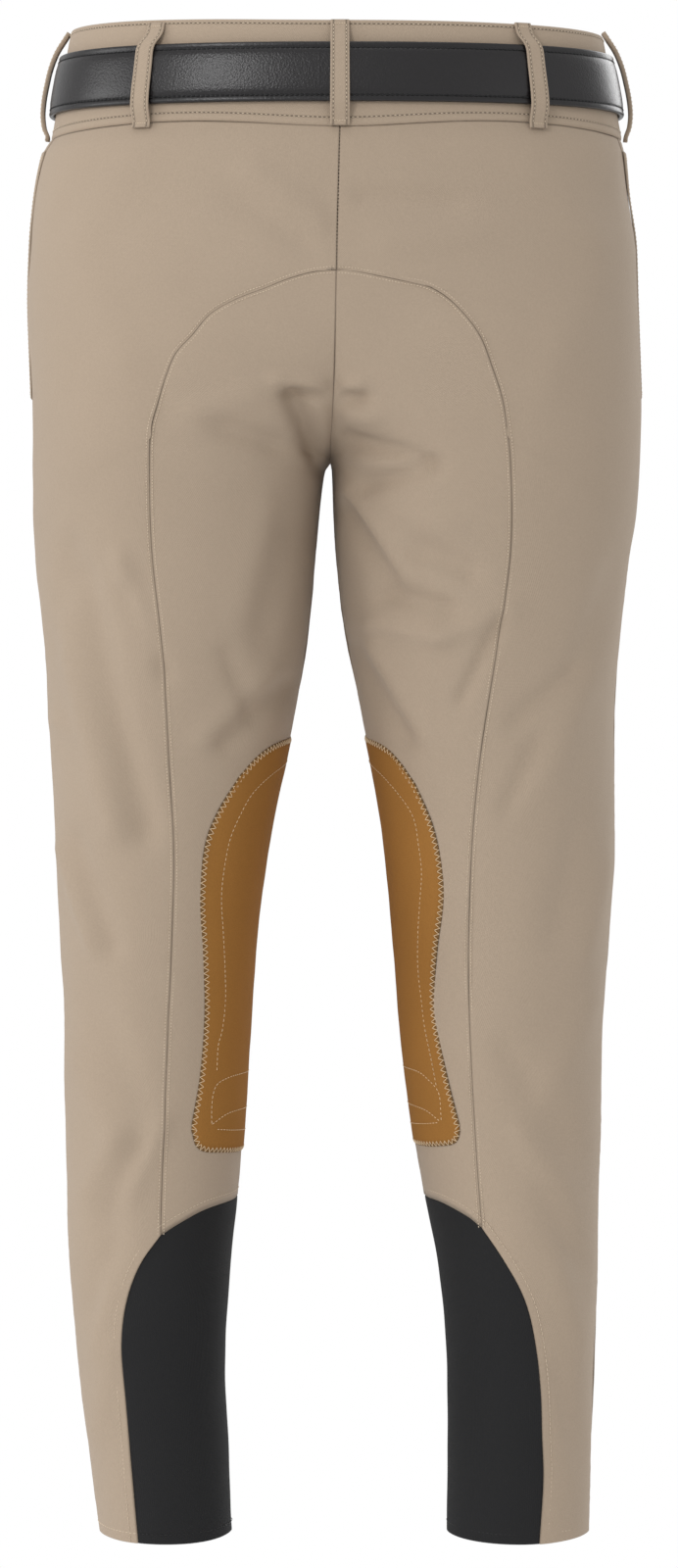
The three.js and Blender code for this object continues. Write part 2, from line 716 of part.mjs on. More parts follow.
function toManifold({ points, faces }) {
  const mesh = new wasm.Mesh({
    numProp: 3,
    vertProperties: new Float32Array(points.flatMap((p) => p.toArray())),
    triVerts: new Uint32Array(faces),
  });
  return new wasm.Manifold(mesh);
}

function fromManifold(body) {
  const mesh = body.getMesh();
  const points = [];
  for (let i = 0; i < mesh.vertProperties.length; i += mesh.numProp) {
    points.push(new THREE.Vector3(...mesh.vertProperties.slice(i, i + 3)));
  }
  return { points, faces: Array.from(mesh.triVerts) };
}

// A prism in belt space: an outline of along and height, from one distance out to another
function punch(outline, from, to) {
  const count = outline.length;
  const points = [from, to].flatMap((out) => outline.map(([along, height]) => new THREE.Vector3(along, height, out)));
  const faces = [];
  for (let k = 0; k < count; k += 1) {
    const next = (k + 1) % count;
    faces.push(k, next, count + next, k, count + next, count + k);
  }
  for (let k = 1; k < count - 1; k += 1) faces.push(0, k + 1, k, count, count + k, count + k + 1);
  return { points, faces };
}

function oval(along, height, halfLength, halfWidth, sides) {
  return Array.from({ length: sides }, (_, k) => {
    const turn = (2 * Math.PI * k) / sides;
    return [along + halfLength * Math.cos(turn), height + halfWidth * Math.sin(turn)];
  });
}

const smooth = (from, to, value) => {
  const f = Math.min(Math.max((value - from) / (to - from), 0), 1);
  return f * f * (3 - 2 * f);
};

// How far out the middle of the strap lies: under the toe bar, over the heel bar, on its first turn
function strapOut(along) {
  const first = BELT_LIFT + BELT / 2;
  const raised = first + KEEPER_RISE * (1 - smooth(60, 110, along));
  if (along < RING / 2) return raised;
  const over = HEEL_BAR.out + OVER_HEEL;
  const second = first + BELT + SEAM_GAP;
  const climb = first + (over - first) * smooth(RING + TOE_BAR.along + 2, RING + HEEL_BAR.along - 2, along);
  const settle = (over - second - KEEPER_RISE) * smooth(RING + HEEL_BAR.along, RING + 40, along)
    + KEEPER_RISE * smooth(RING + 60, RING + 110, along);
  return climb - settle;
}

function strap() {
  const from = HEEL_BAR.along + 7;
  const tip = RING + TIP_REACH;
  const tipBend = 12;
  const marks = [];
  for (let along = from; along < RING - 24; along += 10) marks.push(along);
  for (let along = RING - 20; along < RING + 48; along += 5) marks.push(along);
  for (let along = RING + 52; along < tip - 14; along += 11) marks.push(along);
  marks.push(tip - tipBend, tip - 7, tip - 3, tip);
  const rings = marks.map((along) => {
    const out = strapOut(along);
    const nearTip = Math.max(0, (along - (tip - tipBend)) / tipBend);
    const half = (BELT_WIDTH / 2) * Math.sqrt(1 - 0.86 * nearTip ** 2);
    return [[-half, -1], [half, -1], [half, 1], [-half, 1]].map(([height, face]) => (
      new THREE.Vector3(along, BELT_MIDDLE + height, out + (face * BELT) / 2)));
  });
  const points = rings.flat();
  const faces = [];
  for (let i = 0; i < rings.length - 1; i += 1) {
    for (let k = 0; k < 4; k += 1) {
      const a = 4 * i + k;
      const b = 4 * i + ((k + 1) % 4);
      faces.push(a, b, b + 4, a, b + 4, a + 4);
    }
  }
  const end = 4 * (rings.length - 1);
  faces.push(0, 2, 1, 0, 3, 2, end, end + 1, end + 2, end, end + 2, end + 3);

  // The strap's first end is folded round the heel bar
  const foldThick = 1.6;
  const wrap = HEEL_BAR.radius + SEAM_GAP + foldThick;
  const headOutline = [];
  for (let k = 0; k <= 10; k += 1) {
    const turn = Math.PI / 2 + (Math.PI * k) / 10;
    headOutline.push([HEEL_BAR.along + wrap * Math.cos(turn), HEEL_BAR.out + wrap * Math.sin(turn)]);
  }
  const join = from + 3;
  headOutline.push([join, strapOut(join) - BELT / 2], [join, strapOut(join) + BELT / 2]);
  const headShape = new THREE.Shape(headOutline.map(([along, out]) => new THREE.Vector2(along, out)));
  const bore = oval(HEEL_BAR.along, HEEL_BAR.out, HEEL_BAR.radius + 0.4, HEEL_BAR.radius + 0.4, 12);
  headShape.holes = [new THREE.Path(bore.map(([along, out]) => new THREE.Vector2(along, out)))];
  const head = merged(new THREE.ExtrudeGeometry(headShape, { depth: BELT_WIDTH, bevelEnabled: false, steps: 1 }));
  const headPoints = head.points.map((p) => new THREE.Vector3(p.x, BELT_TOP - p.z, p.y));

  let body = toManifold({ points, faces }).add(toManifold({ points: headPoints, faces: head.faces }));
  const slotLength = 11;
  const slotWidth = 4;
  const slot = punch(oval(HEEL_BAR.along - 1, BELT_MIDDLE, slotLength / 2, slotWidth / 2, 10), -1, 8);
  body = body.subtract(toManifold(slot));
  const usedHole = HEEL_BAR.along - 7;
  for (let n = -2; n <= 2; n += 1) {
    const along = RING + usedHole + n * HOLE_SPACING;
    const used = n === 0;
    const pulled = 7;
    const outline = oval(used ? along - 0.5 : along, BELT_MIDDLE, used ? pulled : HOLE_RADIUS, HOLE_RADIUS, 10);
    const out = strapOut(along);
    body = body.subtract(toManifold(punch(outline, out - 4.5, out + 4.5)));
  }
  return beltSolid(fromManifold(body));
}

function buckleFrame() {
  const clear = 0.6;
  const side = TOE_BAR.radius;
  const high = BELT_TOP + clear + side;
  const low = BELT_BOTTOM - clear - side;
  const corner = 3;
  const path = [];
  const radii = [];
  const corners = [
    { along: HEEL_BAR.along - corner, height: high - corner, start: 90 },
    { along: TOE_BAR.along + corner, height: high - corner, start: 180 },
    { along: TOE_BAR.along + corner, height: low + corner, start: 270 },
    { along: HEEL_BAR.along - corner, height: low + corner, start: 360 },
  ];
  for (const { along, height, start } of corners) {
    for (let k = 3; k >= 0; k -= 1) {
      const turn = ((start - 30 * k) * Math.PI) / 180;
      const x = along + corner * Math.cos(turn);
      const share = (HEEL_BAR.along - x) / (HEEL_BAR.along - TOE_BAR.along);
      path.push(new THREE.Vector3(x, height + corner * Math.sin(turn),
        HEEL_BAR.out + (TOE_BAR.out - HEEL_BAR.out) * smooth(0.1, 0.9, share)));
      radii.push(HEEL_BAR.radius + (side - HEEL_BAR.radius) * smooth(0, 0.3, share));
    }
  }
  return beltSolid(loopedBar(path, radii, 8));
}

function buckleProng() {
  const root = HEEL_BAR.radius + 0.35 + PRONG_ROOT;
  const path = [];
  for (const turn of PRONG_TURNS) {
    const angle = (turn * Math.PI) / 180;
    path.push(new THREE.Vector3(HEEL_BAR.along + root * Math.cos(angle), BELT_MIDDLE,
      HEEL_BAR.out + root * Math.sin(angle)));
  }
  const rest = TOE_BAR.out + TOE_BAR.radius + SEAM_GAP + PRONG_SHANK;
  const shank = table('along out radius', [
    [12.8, 7.2, PRONG_ROOT],
    [9.6, 8.7, PRONG_ROOT],
    [5.8, 10.9, 1.15],
    [0.5, 11.6, PRONG_SHANK],
    [-8, rest + 0.8, PRONG_SHANK],
    [TOE_BAR.along, rest, PRONG_SHANK],
    [TOE_BAR.along - 3, rest - 0.2, 1.1],
  ]);
  for (const row of shank) path.push(new THREE.Vector3(row.along, BELT_MIDDLE, row.out));
  const radii = path.map((_, i) => shank[i - PRONG_TURNS.length]?.radius ?? PRONG_ROOT);
  return beltSolid(prongTube(path, radii));
}

// The prong's path turns in the plane of along and out, so its rings stay square to that plane
function prongTube(path, radii) {
  const sides = 7;
  const up = new THREE.Vector3(0, 1, 0);
  const points = path.flatMap((point, i) => {
    const along = path[Math.min(i + 1, path.length - 1)].clone().sub(path[Math.max(i - 1, 0)]).normalize();
    const across = along.clone().cross(up).normalize();
    return Array.from({ length: sides }, (_, k) => {
      const turn = (2 * Math.PI * k) / sides;
      return point.clone().addScaledVector(up, radii[i] * Math.cos(turn))
        .addScaledVector(across, radii[i] * Math.sin(turn));
    });
  });
  const faces = [];
  for (let i = 0; i < path.length - 1; i += 1) {
    for (let k = 0; k < sides; k += 1) {
      const next = (k + 1) % sides;
      const [a, b] = [i * sides + k, i * sides + next];
      faces.push(a, b, b + sides, a, b + sides, a + sides);
    }
  }
  const end = (path.length - 1) * sides;
  for (let k = 1; k < sides - 1; k += 1) faces.push(0, k + 1, k, end, end + k, end + k + 1);
  return { points, faces };
}

function keeper() {
  const along = HEEL_BAR.along + 26;
  const width = 10;
  const leather = 1.2;
  const clear = 0.4;
  const outer = strapOut(RING + along - width / 2) + BELT / 2 + 2 * SEAM_GAP;
  const ring = (grow) => [
    [BELT_BOTTOM - clear - grow, BELT_LIFT + leather - grow],
    [BELT_TOP + clear + grow, BELT_LIFT + leather - grow],
    [BELT_TOP + clear + grow, outer + grow],
    [BELT_BOTTOM - clear - grow, outer + grow],
  ];
  return alongBelt(ring(leather), [ring(0)], along - width / 2, width);
}

// A belt loop: sewn at the top of the band, standing over the belt, folded in under the waist seam
function beltLoop(along, stand) {
  const outerLine = table('height out', [
    [29.5, 1.9],
    [25.5, 2.6],
    [21.5, 4 + 0.5 * stand],
    [18.2, 5.8 + stand],
    [13, 6.6 + stand],
    [2, 7 + stand],
    [-12, 7.6 + stand],
    [-20, 7.2 + stand],
    [-24.5, 5.4 + 0.6 * stand],
    [-29, 3],
    [-33.5, 2.1],
  ]);
  const innerLine = outerLine.map((row, i) => {
    const before = outerLine[Math.max(i - 1, 0)];
    const after = outerLine[Math.min(i + 1, outerLine.length - 1)];
    const run = Math.hypot(after.height - before.height, after.out - before.out);
    return [
      row.height - ((after.out - before.out) / run) * LOOP_CLOTH,
      row.out - (Math.abs(after.height - before.height) / run) * LOOP_CLOTH,
    ];
  });
  const outline = [...outerLine.map((row) => [row.height, row.out]), ...innerLine.reverse()];
  return alongBelt(outline, [], along - LOOP_WIDTH / 2, LOOP_WIDTH);
}

const LOOPS = table('name along stand', [
  ['loop_back_center', CENTRE_BACK, 0],
  ['loop_back_left', CENTRE_BACK - 118, 0],
  ['loop_back_right', CENTRE_BACK + 118, 0],
  ['loop_side_left', RING / 4 + 1, 0.4],
  ['loop_side_right', (3 * RING) / 4 - 1, 0.4],
  ['loop_front_left', 96, 4.4],
  ['loop_front_right', RING - 96, 0],
]);

const garment = new THREE.Group();

function add(name, geometry, finish) {
  const mesh = new THREE.Mesh(geometry, new THREE.MeshStandardMaterial({ ...COLOURS[finish], name: finish }));
  mesh.name = name;
  garment.add(mesh);
}

for (const side of Object.keys(SIDES)) {
  add(`waistband_${side}`, wall(side, waistband(side), BAND_LIFT, BAND), 'cloth');
  const panels = seatedPanels(side);
  add(`front_${side}`, wall(side, panels.front, 0, CLOTH), 'cloth');
  add(`back_${side}`, wall(side, panels.back, 0, CLOTH), 'cloth');
  add(`seat_${side}`, wall(side, panels.seat, 0, CLOTH), 'cloth');
  add(`calf_${side}`, wall(side, panels.calf, 0, CLOTH), 'knit');
  add(`knee_patch_${side}`, wall(side, kneePatch(side), PATCH_LIFT + SUEDE, SUEDE), 'suede');
  add(`pocket_mouth_${side}`, pocketMouth(side), 'cloth');
}
add('fly_lap', flyLap(), 'cloth');
for (const { name, along, stand } of LOOPS) add(name, beltLoop(along, stand), 'cloth');
add('belt_strap', strap(), 'leather');
add('belt_keeper', keeper(), 'leather');
add('buckle_frame', buckleFrame(), 'metal');
add('buckle_prong', buckleProng(), 'metal');

export default garment;
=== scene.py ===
"""Riding breeches worn on their own belt, seen from behind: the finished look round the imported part."""
import math
import bpy
import numpy as np
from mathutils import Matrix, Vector


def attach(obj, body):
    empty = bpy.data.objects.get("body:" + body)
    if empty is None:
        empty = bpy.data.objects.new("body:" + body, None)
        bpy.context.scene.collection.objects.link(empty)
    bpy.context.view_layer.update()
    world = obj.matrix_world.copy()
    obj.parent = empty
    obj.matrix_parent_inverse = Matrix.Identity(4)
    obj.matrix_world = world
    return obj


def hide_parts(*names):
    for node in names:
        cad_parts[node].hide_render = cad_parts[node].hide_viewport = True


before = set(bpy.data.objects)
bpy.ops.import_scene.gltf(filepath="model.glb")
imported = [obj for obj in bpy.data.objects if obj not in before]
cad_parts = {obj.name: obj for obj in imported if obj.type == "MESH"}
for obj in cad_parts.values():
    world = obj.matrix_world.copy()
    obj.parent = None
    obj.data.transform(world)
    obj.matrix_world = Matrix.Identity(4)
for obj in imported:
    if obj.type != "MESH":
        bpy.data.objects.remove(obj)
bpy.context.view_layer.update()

MM = 0.001
SIGN = {"left": 1.0, "right": -1.0}

# Sizes in millimetres, as in the part's source, but the trim lies a little closer to the cloth
CLOTH, SUEDE, BAND, TRIM, TRIM_LIFT = 1.3, 1.1, 2.6, 0.8, 0.3
BAND_LIFT = 1.0
FORK_Z, FORK_HEIGHT, FORK_SOFT = -230.0, 150.0, 0.06
ARCH_TOP_Z, HEM_Z, CALF_TOP_Z, WAIST_TOP = -120.0, -882.0, -677.0, 31.0
BELT, BELT_LIFT, BELT_BOTTOM, BELT_TOP = 3.4, 0.8, -19.0, 17.0
BELT_MIDDLE, BELT_WIDTH = (BELT_BOTTOM + BELT_TOP) / 2, BELT_TOP - BELT_BOTTOM
HEEL_ALONG, HEEL_OUT, HEEL_RADIUS = 16.0, 4.0, 1.5
TOE_ALONG, TOE_OUT, TOE_RADIUS = -18.0, 6.6, 1.8
TIP_REACH, HOLE_SPACING, HOLE_RADIUS = 135.0, 25.0, 2.2
LOOP_WIDTH, LOOP_CLOTH, BOWED_LOOP_CLOTH = 11.5, 1.5, 2.6
KNIT_CLOTH, KNIT_SUNK = 1.1, 0.45
PATCH_LIFT, SEWN_DOWN = 0.25, 0.12

# How far rows of stitches are from the middle of their strip
BELT_ROW, LOOP_ROW, KEEPER_ROW = 14.3, 3.9, 3.3


# Forms that follow the height

class Rail:
    """A value that runs smoothly through its rows of height and value."""

    def __init__(self, heights, values):
        order = np.argsort(heights)
        self.z = np.array(heights, float)[order]
        self.v = np.array(values, float)[order]
        slope = np.diff(self.v) / np.diff(self.z)
        self.t = np.empty_like(self.v)
        self.t[0], self.t[-1] = slope[0], slope[-1]
        before, after = slope[:-1], slope[1:]
        total = np.where(before * after > 0, before + after, 1.0)
        self.t[1:-1] = np.where(before * after > 0, 2 * before * after / total, 0.0)

    def __call__(self, z):
        i = np.clip(np.searchsorted(self.z, z) - 1, 0, len(self.z) - 2)
        span = self.z[i + 1] - self.z[i]
        f = (z - self.z[i]) / span
        return (self.v[i] * (1 + 2 * f) * (1 - f) ** 2 + self.v[i + 1] * f * f * (3 - 2 * f)
                + self.t[i] * span * f * (1 - f) ** 2 + self.t[i + 1] * span * f * f * (f - 1))


def table(names, rows):
    return {name: [row[i] for row in rows] for i, name in enumerate(names.split())}


LEVELS = table("z centre left_outer left_inner right_inner right_outer front back power", [
    (36, -0.6, 162.5, -0.6, -0.6, -159, -105, 105, 2.35),
    (-24, -0.6, 173.3, -0.6, -0.6, -170.4, -110, 112.2, 2.35),
    (-30, -0.6, 174.4, -0.6, -0.6, -171.5, -110.5, 112.9, 2.35),
    (-42, -0.2, 181, -0.2, -0.2, -174.8, -112, 116, 2.4),
    (-66, 0.3, 185.5, 0.3, 0.3, -176.6, -113.5, 121, 2.4),
    (-100, 1.2, 188.5, 1.2, 1.2, -181, -114, 126.5, 2.45),
    (-130, 1.7, 189.5, 1.7, 1.7, -182, -113.5, 130, 2.45),
    (-165, 2.5, 188.4, 2.5, 2.5, -183.2, -112, 133.5, 2.45),
    (-198, 3.6, 187.2, 3.6, 3.6, -184.2, -110.5, 131, 2.4),
    (-230, 5.3, 186.4, 5.3, 5.3, -183.6, -108, 125, 2.3),
    (-234, 5.3, 186.4, 8.2, 4.5, -183.4, -107.6, 123.8, 2.28),
    (-240, 5.3, 186.4, 9.4, 4.2, -183.2, -107, 122, 2.25),
    (-260, 5.3, 186.6, 11.8, 3.6, -181.8, -105, 115, 2.2),
    (-291, 5.3, 185, 14.4, 1.2, -177, -101.5, 105.5, 2.2),
    (-336, 5.3, 180.6, 19.2, -4.2, -172.2, -98, 96, 2.15),
    (-396, 5.3, 177, 30, -16.8, -168.6, -94, 84, 2.12),
    (-456, 5.3, 174, 42.6, -27.6, -168.6, -89, 76, 2.12),
    (-516, 5.3, 171, 51, -33.6, -165.6, -84, 70, 2.12),
    (-576, 5.3, 168.6, 55.2, -38.4, -161.4, -77, 65.5, 2.12),
    (-636, 5.3, 167.4, 58.8, -45.6, -160.2, -67, 68, 2.12),
    (-680, 5.3, 166.2, 62, -53, -158.5, -60.5, 71, 2.12),
    (-726, 5.3, 163.8, 66.6, -60.6, -157.8, -56, 72, 2.12),
    (-786, 5.3, 159, 69, -66, -155.4, -53, 66, 2.12),
    (-836, 5.3, 152.5, 66.6, -66, -153.8, -51.3, 58.5, 2.12),
    (-890, 5.3, 145.5, 64.5, -65.2, -152.3, -50, 51.5, 2.12),
])
LEVEL = {name: Rail(LEVELS["z"], values) for name, values in LEVELS.items() if name != "z"}

ARCH = {
    "left": [(14, -121), (29, -125), (44, -131), (62, -138), (77, -147), (87, -159), (97, -170), (103, -184),
             (108, -200), (112, -214), (113, -231)],
    "right": [(-10, -121), (-23, -123.5), (-38, -126.5), (-51, -129), (-63, -135.5), (-74, -146),
              (-84, -160), (-91, -178), (-97, -196), (-100, -213), (-102, -231)],
}
LEG_SEAM = {
    "left": [(113, -231), (112, -285), (106, -344), (102.5, -405), (99.5, -465), (101, -530), (103, -570),
             (106, -650), (107.5, -698)],
    "right": [(-102, -231), (-103, -285), (-95, -344), (-85.5, -405), (-80, -465), (-78, -530), (-79, -570),
              (-83, -650), (-86, -694)],
}
CALF_TOP = {
    "left": [(80, -683), (96, -691), (107.5, -698)],
    "right": [(-63, -680), (-77, -687), (-86, -694)],
}
CALF_EDGE = {
    "left": [(107.5, -698), (119, -714), (126, -730), (130.5, -750), (131, -771), (129, -798), (127, -823),
             (124, -862), (122, -886)],
    "right": [(-86, -694), (-99, -713), (-109, -730), (-115, -746), (-120, -773), (-122, -794), (-123, -819),
              (-124, -845), (-121.5, -886)],
}
PATCH_TOP = {"left": [(39, -402), (49, -409), (60, -421)], "right": [(-27, -403), (-36, -412), (-46, -426)]}
PATCH_EDGE = {
    "left": [(60, -421), (73, -443), (80, -461), (83.5, -494), (82, -528), (81, -564), (84, -604),
             (89, -634)],
    "right": [(-46, -426), (-56, -450), (-61, -471), (-63, -494), (-59, -528), (-58, -562),
              (-65, -602), (-73, -634)],
}
PATCH_FOOT = {"left": [(89, -634), (85, -646), (70, -649)], "right": [(-73, -634), (-71, -642), (-60, -645)]}
PATCH_TOP_Z = {"left": -397.0, "right": -396.0}
PATCH_FOOT_Z = {"left": -649.0, "right": -645.0}

# Lines of running stitch on the patches: the height on the inner leg, then places outwards over the back
PATCH_ROWS = {
    "left": [
        (-411, [(42, -420), (53, -431), (61, -445), (67, -460), (70, -475), (72, -494), (71, -517),
                (70, -541), (70, -558), (72, -576), (74, -583), (75, -600)]),
        (-601, [(68, -604), (75, -608), (77, -613), (78, -622), (78, -632)]),
        (-623, [(69, -626), (78, -632)]),
        (-637, [(67, -636), (75, -635)]),
    ],
    "right": [
        (-411, [(-27, -420), (-38, -433), (-46, -446), (-49, -462), (-51, -479), (-50, -498), (-49, -517),
                (-49, -537), (-51, -556), (-53, -573), (-57, -593), (-60, -609)]),
        (-598, [(-50, -601), (-55, -605), (-61, -612), (-63, -630)]),
        (-620, [(-54, -624), (-62, -630)]),
        (-633, [(-54, -632), (-61, -631)]),
    ],
}

# Folds on each face: a soft ridge (height above 0) or trough (below 0) from one x and z to another,
# with its width and height
FOLDS = {
    "back": [
        (24, -201, 12, -225, 7.5, -10), (36, -186, -11, -188, 4, 3.4), (29, -195, -12, -196, 4, -4.6),
        (66, -215, 40, -223, 8, -4.8), (54, -196, 84, -204, 8, 2.2), (0, -204, -18, -207, 6, 3.2),
        (-4, -218, -53, -234, 4.5, -4.6), (-14, -230, -40, -236, 5, 2.4),
        (-18, -246, -53, -238, 5, -4.8), (-6, -264, -30, -306, 6, -5), (-8, -250, -42, -300, 5, 4),
        (-32, -260, -62, -270, 9, 2.4), (-50, -286, -76, -298, 7, -4.6),
        (-29, -313, -63, -320, 5.5, -5.2), (-22, -329, -60, -337, 6, 4),
        (-60, -338, -100, -322, 7, 2.8), (-96, -328, -74, -374, 5, -3.2),
        (-8, -346, -38, -396, 7, -4.6), (-22, -346, -52, -396, 6, 3), (30, -368, 66, -400, 7, -4.4),
        (44, -360, 80, -396, 7, 2.6), (66, -350, 54, -380, 6, -3), (44, -330, 30, -276, 10, -2.6),
        (58, -318, 44, -262, 9, 2), (154, -303, 118, -451, 9, -5.8), (168, -330, 136, -452, 8, 4.2),
        (131, -293, 112, -346, 6, 3.6), (126, -313, 106, -358, 6, -3.6), (172, -388, 150, -420, 6, 3),
        (166, -400, 150, -416, 7, -3.4), (168, -466, 149, -522, 5, 4.2),
        (159, -462, 138, -522, 7, -3.8), (162, -285, 172, -343, 8, -3),
        (148, -560, 124, -612, 11, -2.8), (158, -596, 138, -640, 8, 2.4),
        (-148, -361, -126, -420, 11, 3.6), (-139, -360, -108, -386, 6, -3.2),
        (-118, -404, -102, -438, 6, -2.8), (-166, -300, -146, -352, 9, -2.8),
        (-146, -452, -132, -514, 11, -3.2), (-162, -476, -148, -530, 8, 2.6),
        (-150, -560, -128, -612, 10, 3), (-104, -590, -136, -640, 10, -2.8),
        (152, -672, 134, -640, 7, 3.4), (126, -670, 108, -634, 7, 3.4), (142, -690, 120, -646, 7, -3),
        (150, -742, 136, -700, 8, -3), (148, -770, 140, -730, 7, 2.2), (-134, -668, -112, -640, 8, 2.8),
        (-146, -716, -128, -680, 8, -2.8), (-144, -760, -132, -722, 8, 2.2),
        (148, -820, 138, -770, 7, 2.2), (-144, -828, -134, -782, 7, -2), (128, -62, 152, -96, 14, 2.4),
        (-120, -60, -150, -98, 14, 2.4), (10, -92, 50, -62, 9, 2), (22, -104, 60, -78, 7, -1.6),
        (-16, -76, -68, -79, 7, -2.2), (-78, -100, -30, -104, 8, 1.4), (150, -120, 130, -170, 13, 2),
        (-150, -130, -126, -186, 13, 2),
    ],
    "front": [
        (42, -206, 96, -178, 11, -3.5), (-14, -216, -72, -192, 11, -3), (48, -190, 92, -164, 8, 2),
        (-30, -196, -76, -172, 9, 1.8), (30, -238, 112, -222, 13, -3), (-24, -244, -98, -234, 14, 2.5),
        (24, -258, 84, -256, 10, 2.2), (-20, -268, -74, -276, 10, -2.2), (52, -300, 128, -352, 15, 3.2),
        (-46, -316, -118, -372, 14, -3), (66, -336, 122, -378, 12, -2.2),
        (-60, -352, -112, -402, 12, 2.2), (96, -430, 142, -470, 12, -2.2),
        (-90, -440, -136, -474, 12, 2), (112, -518, 152, -546, 11, -3.4), (112, -572, 154, -560, 11, 3),
        (104, -540, 140, -566, 8, 1.8), (100, -596, 146, -592, 9, -2.2),
        (-92, -524, -142, -546, 11, -3), (-96, -586, -146, -568, 12, 3),
        (-88, -552, -132, -560, 8, 1.9), (-90, -612, -138, -600, 9, -2.2),
        (84, -742, 140, -716, 11, -2.4), (-78, -752, -132, -728, 10, -2.4),
        (96, -776, 134, -764, 8, 1.6), (-92, -786, -134, -770, 8, 1.6),
    ],
}


def angle_at(half, depth, power, inwards):
    share = np.clip(np.abs(inwards) / half, 0, 1)
    return np.arctan2(depth * (1 - share ** power) ** (1 / power), inwards)


def leg_section(side, z):
    """One leg's level section; above the fork the two lean together and are cut at the centre line."""
    sign = SIGN[side]
    centre = LEVEL["centre"](z)
    outer = sign * (LEVEL[side + "_outer"](z) - centre)
    inner = sign * (LEVEL[side + "_inner"](z) - centre)
    front, back, power = LEVEL["front"](z), LEVEL["back"](z), LEVEL["power"](z)
    above = z > FORK_Z
    rise = np.clip((z - FORK_Z) / FORK_HEIGHT, 0, 1)
    rise = (np.sqrt(rise ** 2 + FORK_SOFT ** 2) - FORK_SOFT) / (math.sqrt(1 + FORK_SOFT ** 2) - FORK_SOFT)
    lean = (1 - rise) ** 1.3
    half = np.where(above, outer / (1 + lean), (outer - inner) / 2)
    middle = np.where(above, lean * half, (outer + inner) / 2)
    depth = (back - front) / 2
    first = np.where(above, angle_at(half, depth, power, np.minimum(middle, half)), 0.0)
    return {"sign": sign, "centre": centre, "half": half, "middle": middle, "mid_y": (front + back) / 2,
            "depth": depth, "power": power, "bridge": np.where(above, (1 - rise) ** 2, 1.0), "first": first}


def cut_power(first):
    return 1 + 11 * np.clip(1 - first / 1.2, 0, 1) ** 4


def angle_of(s, turn):
    """Angle round the section; a narrow cut at the centre line moves only the places next to it."""
    share = 1 - np.abs(turn - 1)
    turned = math.pi * share + s["first"] * (1 - share) ** cut_power(s["first"])
    return np.where(turn <= 1, turned, 2 * math.pi - turned)


def share_at(s, angle):
    """The share of a half turn that reaches an angle, by Newton's steps."""
    first, power = s["first"], cut_power(s["first"])
    share = (angle - first) / (math.pi - first)
    for _ in range(20):
        miss = math.pi * share + first * (1 - share) ** power - angle
        share = np.clip(share - miss / (math.pi - power * first * (1 - share) ** (power - 1)), 0, 1)
    return share


def skin(s, angle, z):
    cos, sin = np.cos(angle), np.sin(angle)
    power = s["power"]
    radius = (np.abs(cos / s["half"]) ** power + np.abs(sin / s["depth"]) ** power) ** (-1 / power)
    reach = radius * np.abs(sin)
    reach = np.where(cos > 0, s["depth"] - s["bridge"] * (s["depth"] - reach), reach)
    x = s["centre"] + s["sign"] * (s["middle"] - radius * cos)
    return np.stack([x, s["mid_y"] - np.sign(sin) * reach, z], -1)


def unit(v):
    return v / np.maximum(np.linalg.norm(v, axis=-1, keepdims=True), 1e-9)


def folds_at(on_back, x, z):
    lift = np.zeros_like(x)
    for face, folds in FOLDS.items():
        there = on_back == (face == "back")
        for x1, z1, x2, z2, width, height in folds:
            run = math.hypot(x2 - x1, z2 - z1)
            ux, uz = (x2 - x1) / run, (z2 - z1) / run
            along = (x - x1) * ux + (z - z1) * uz
            across = (x - x1) * uz - (z - z1) * ux
            beyond = np.maximum(np.maximum(-along, along - run), 0)
            here = height * np.exp(-(across / width) ** 2 - (beyond / (1.4 * width)) ** 2)
            lift += np.where(there, here, 0.0)
    return lift


def place(side, turn, z, out=0.0, folded=True):
    """Points and outward normals; turn is 0 inner front, 1 outer side, 2 inner back, below 0 inner leg."""
    turn, z = np.broadcast_arrays(np.asarray(turn, float), np.asarray(z, float))
    s = leg_section(side, z)
    angle = angle_of(s, turn)
    point = skin(s, angle, z)
    step, rise = 0.004, 0.8
    across = skin(s, angle + step, z) - skin(s, angle - step, z)
    above, below = (skin(leg_section(side, z + h), angle, z + h) for h in (rise, -rise))
    up = above - below
    normal = unit(np.cross(across, up))
    outwards = -s["sign"] * np.cos(angle) * normal[..., 0] - np.sin(angle) * normal[..., 1]
    normal = np.where(outwards[..., None] < 0, -normal, normal)
    lift = np.broadcast_to(np.asarray(out, float), z.shape)
    if folded:
        closing = np.clip((z - FORK_Z + 14) / 14, 0, 1)
        fade = np.minimum(1, np.abs(np.sin(angle)) * 2)
        fade = fade * (1 - closing * np.exp(-((point[..., 0] - s["centre"]) / 7) ** 2))
        lift = lift + folds_at(np.sin(angle) < 0, point[..., 0], z) * fade
    return point + normal * lift[..., None], normal


def turn_at_x(side, x, z):
    """The turn of a place on the back that is seen at x from behind."""
    s = leg_section(side, np.asarray(z, float))
    inwards = np.clip(s["middle"] - s["sign"] * (np.asarray(x, float) - s["centre"]), -s["half"], s["half"])
    return 2 - share_at(s, angle_at(s["half"], s["depth"], s["power"], inwards))


# Lines on the cloth, as stations of turn and height

TO_MM = np.array((180.0, 1.0))


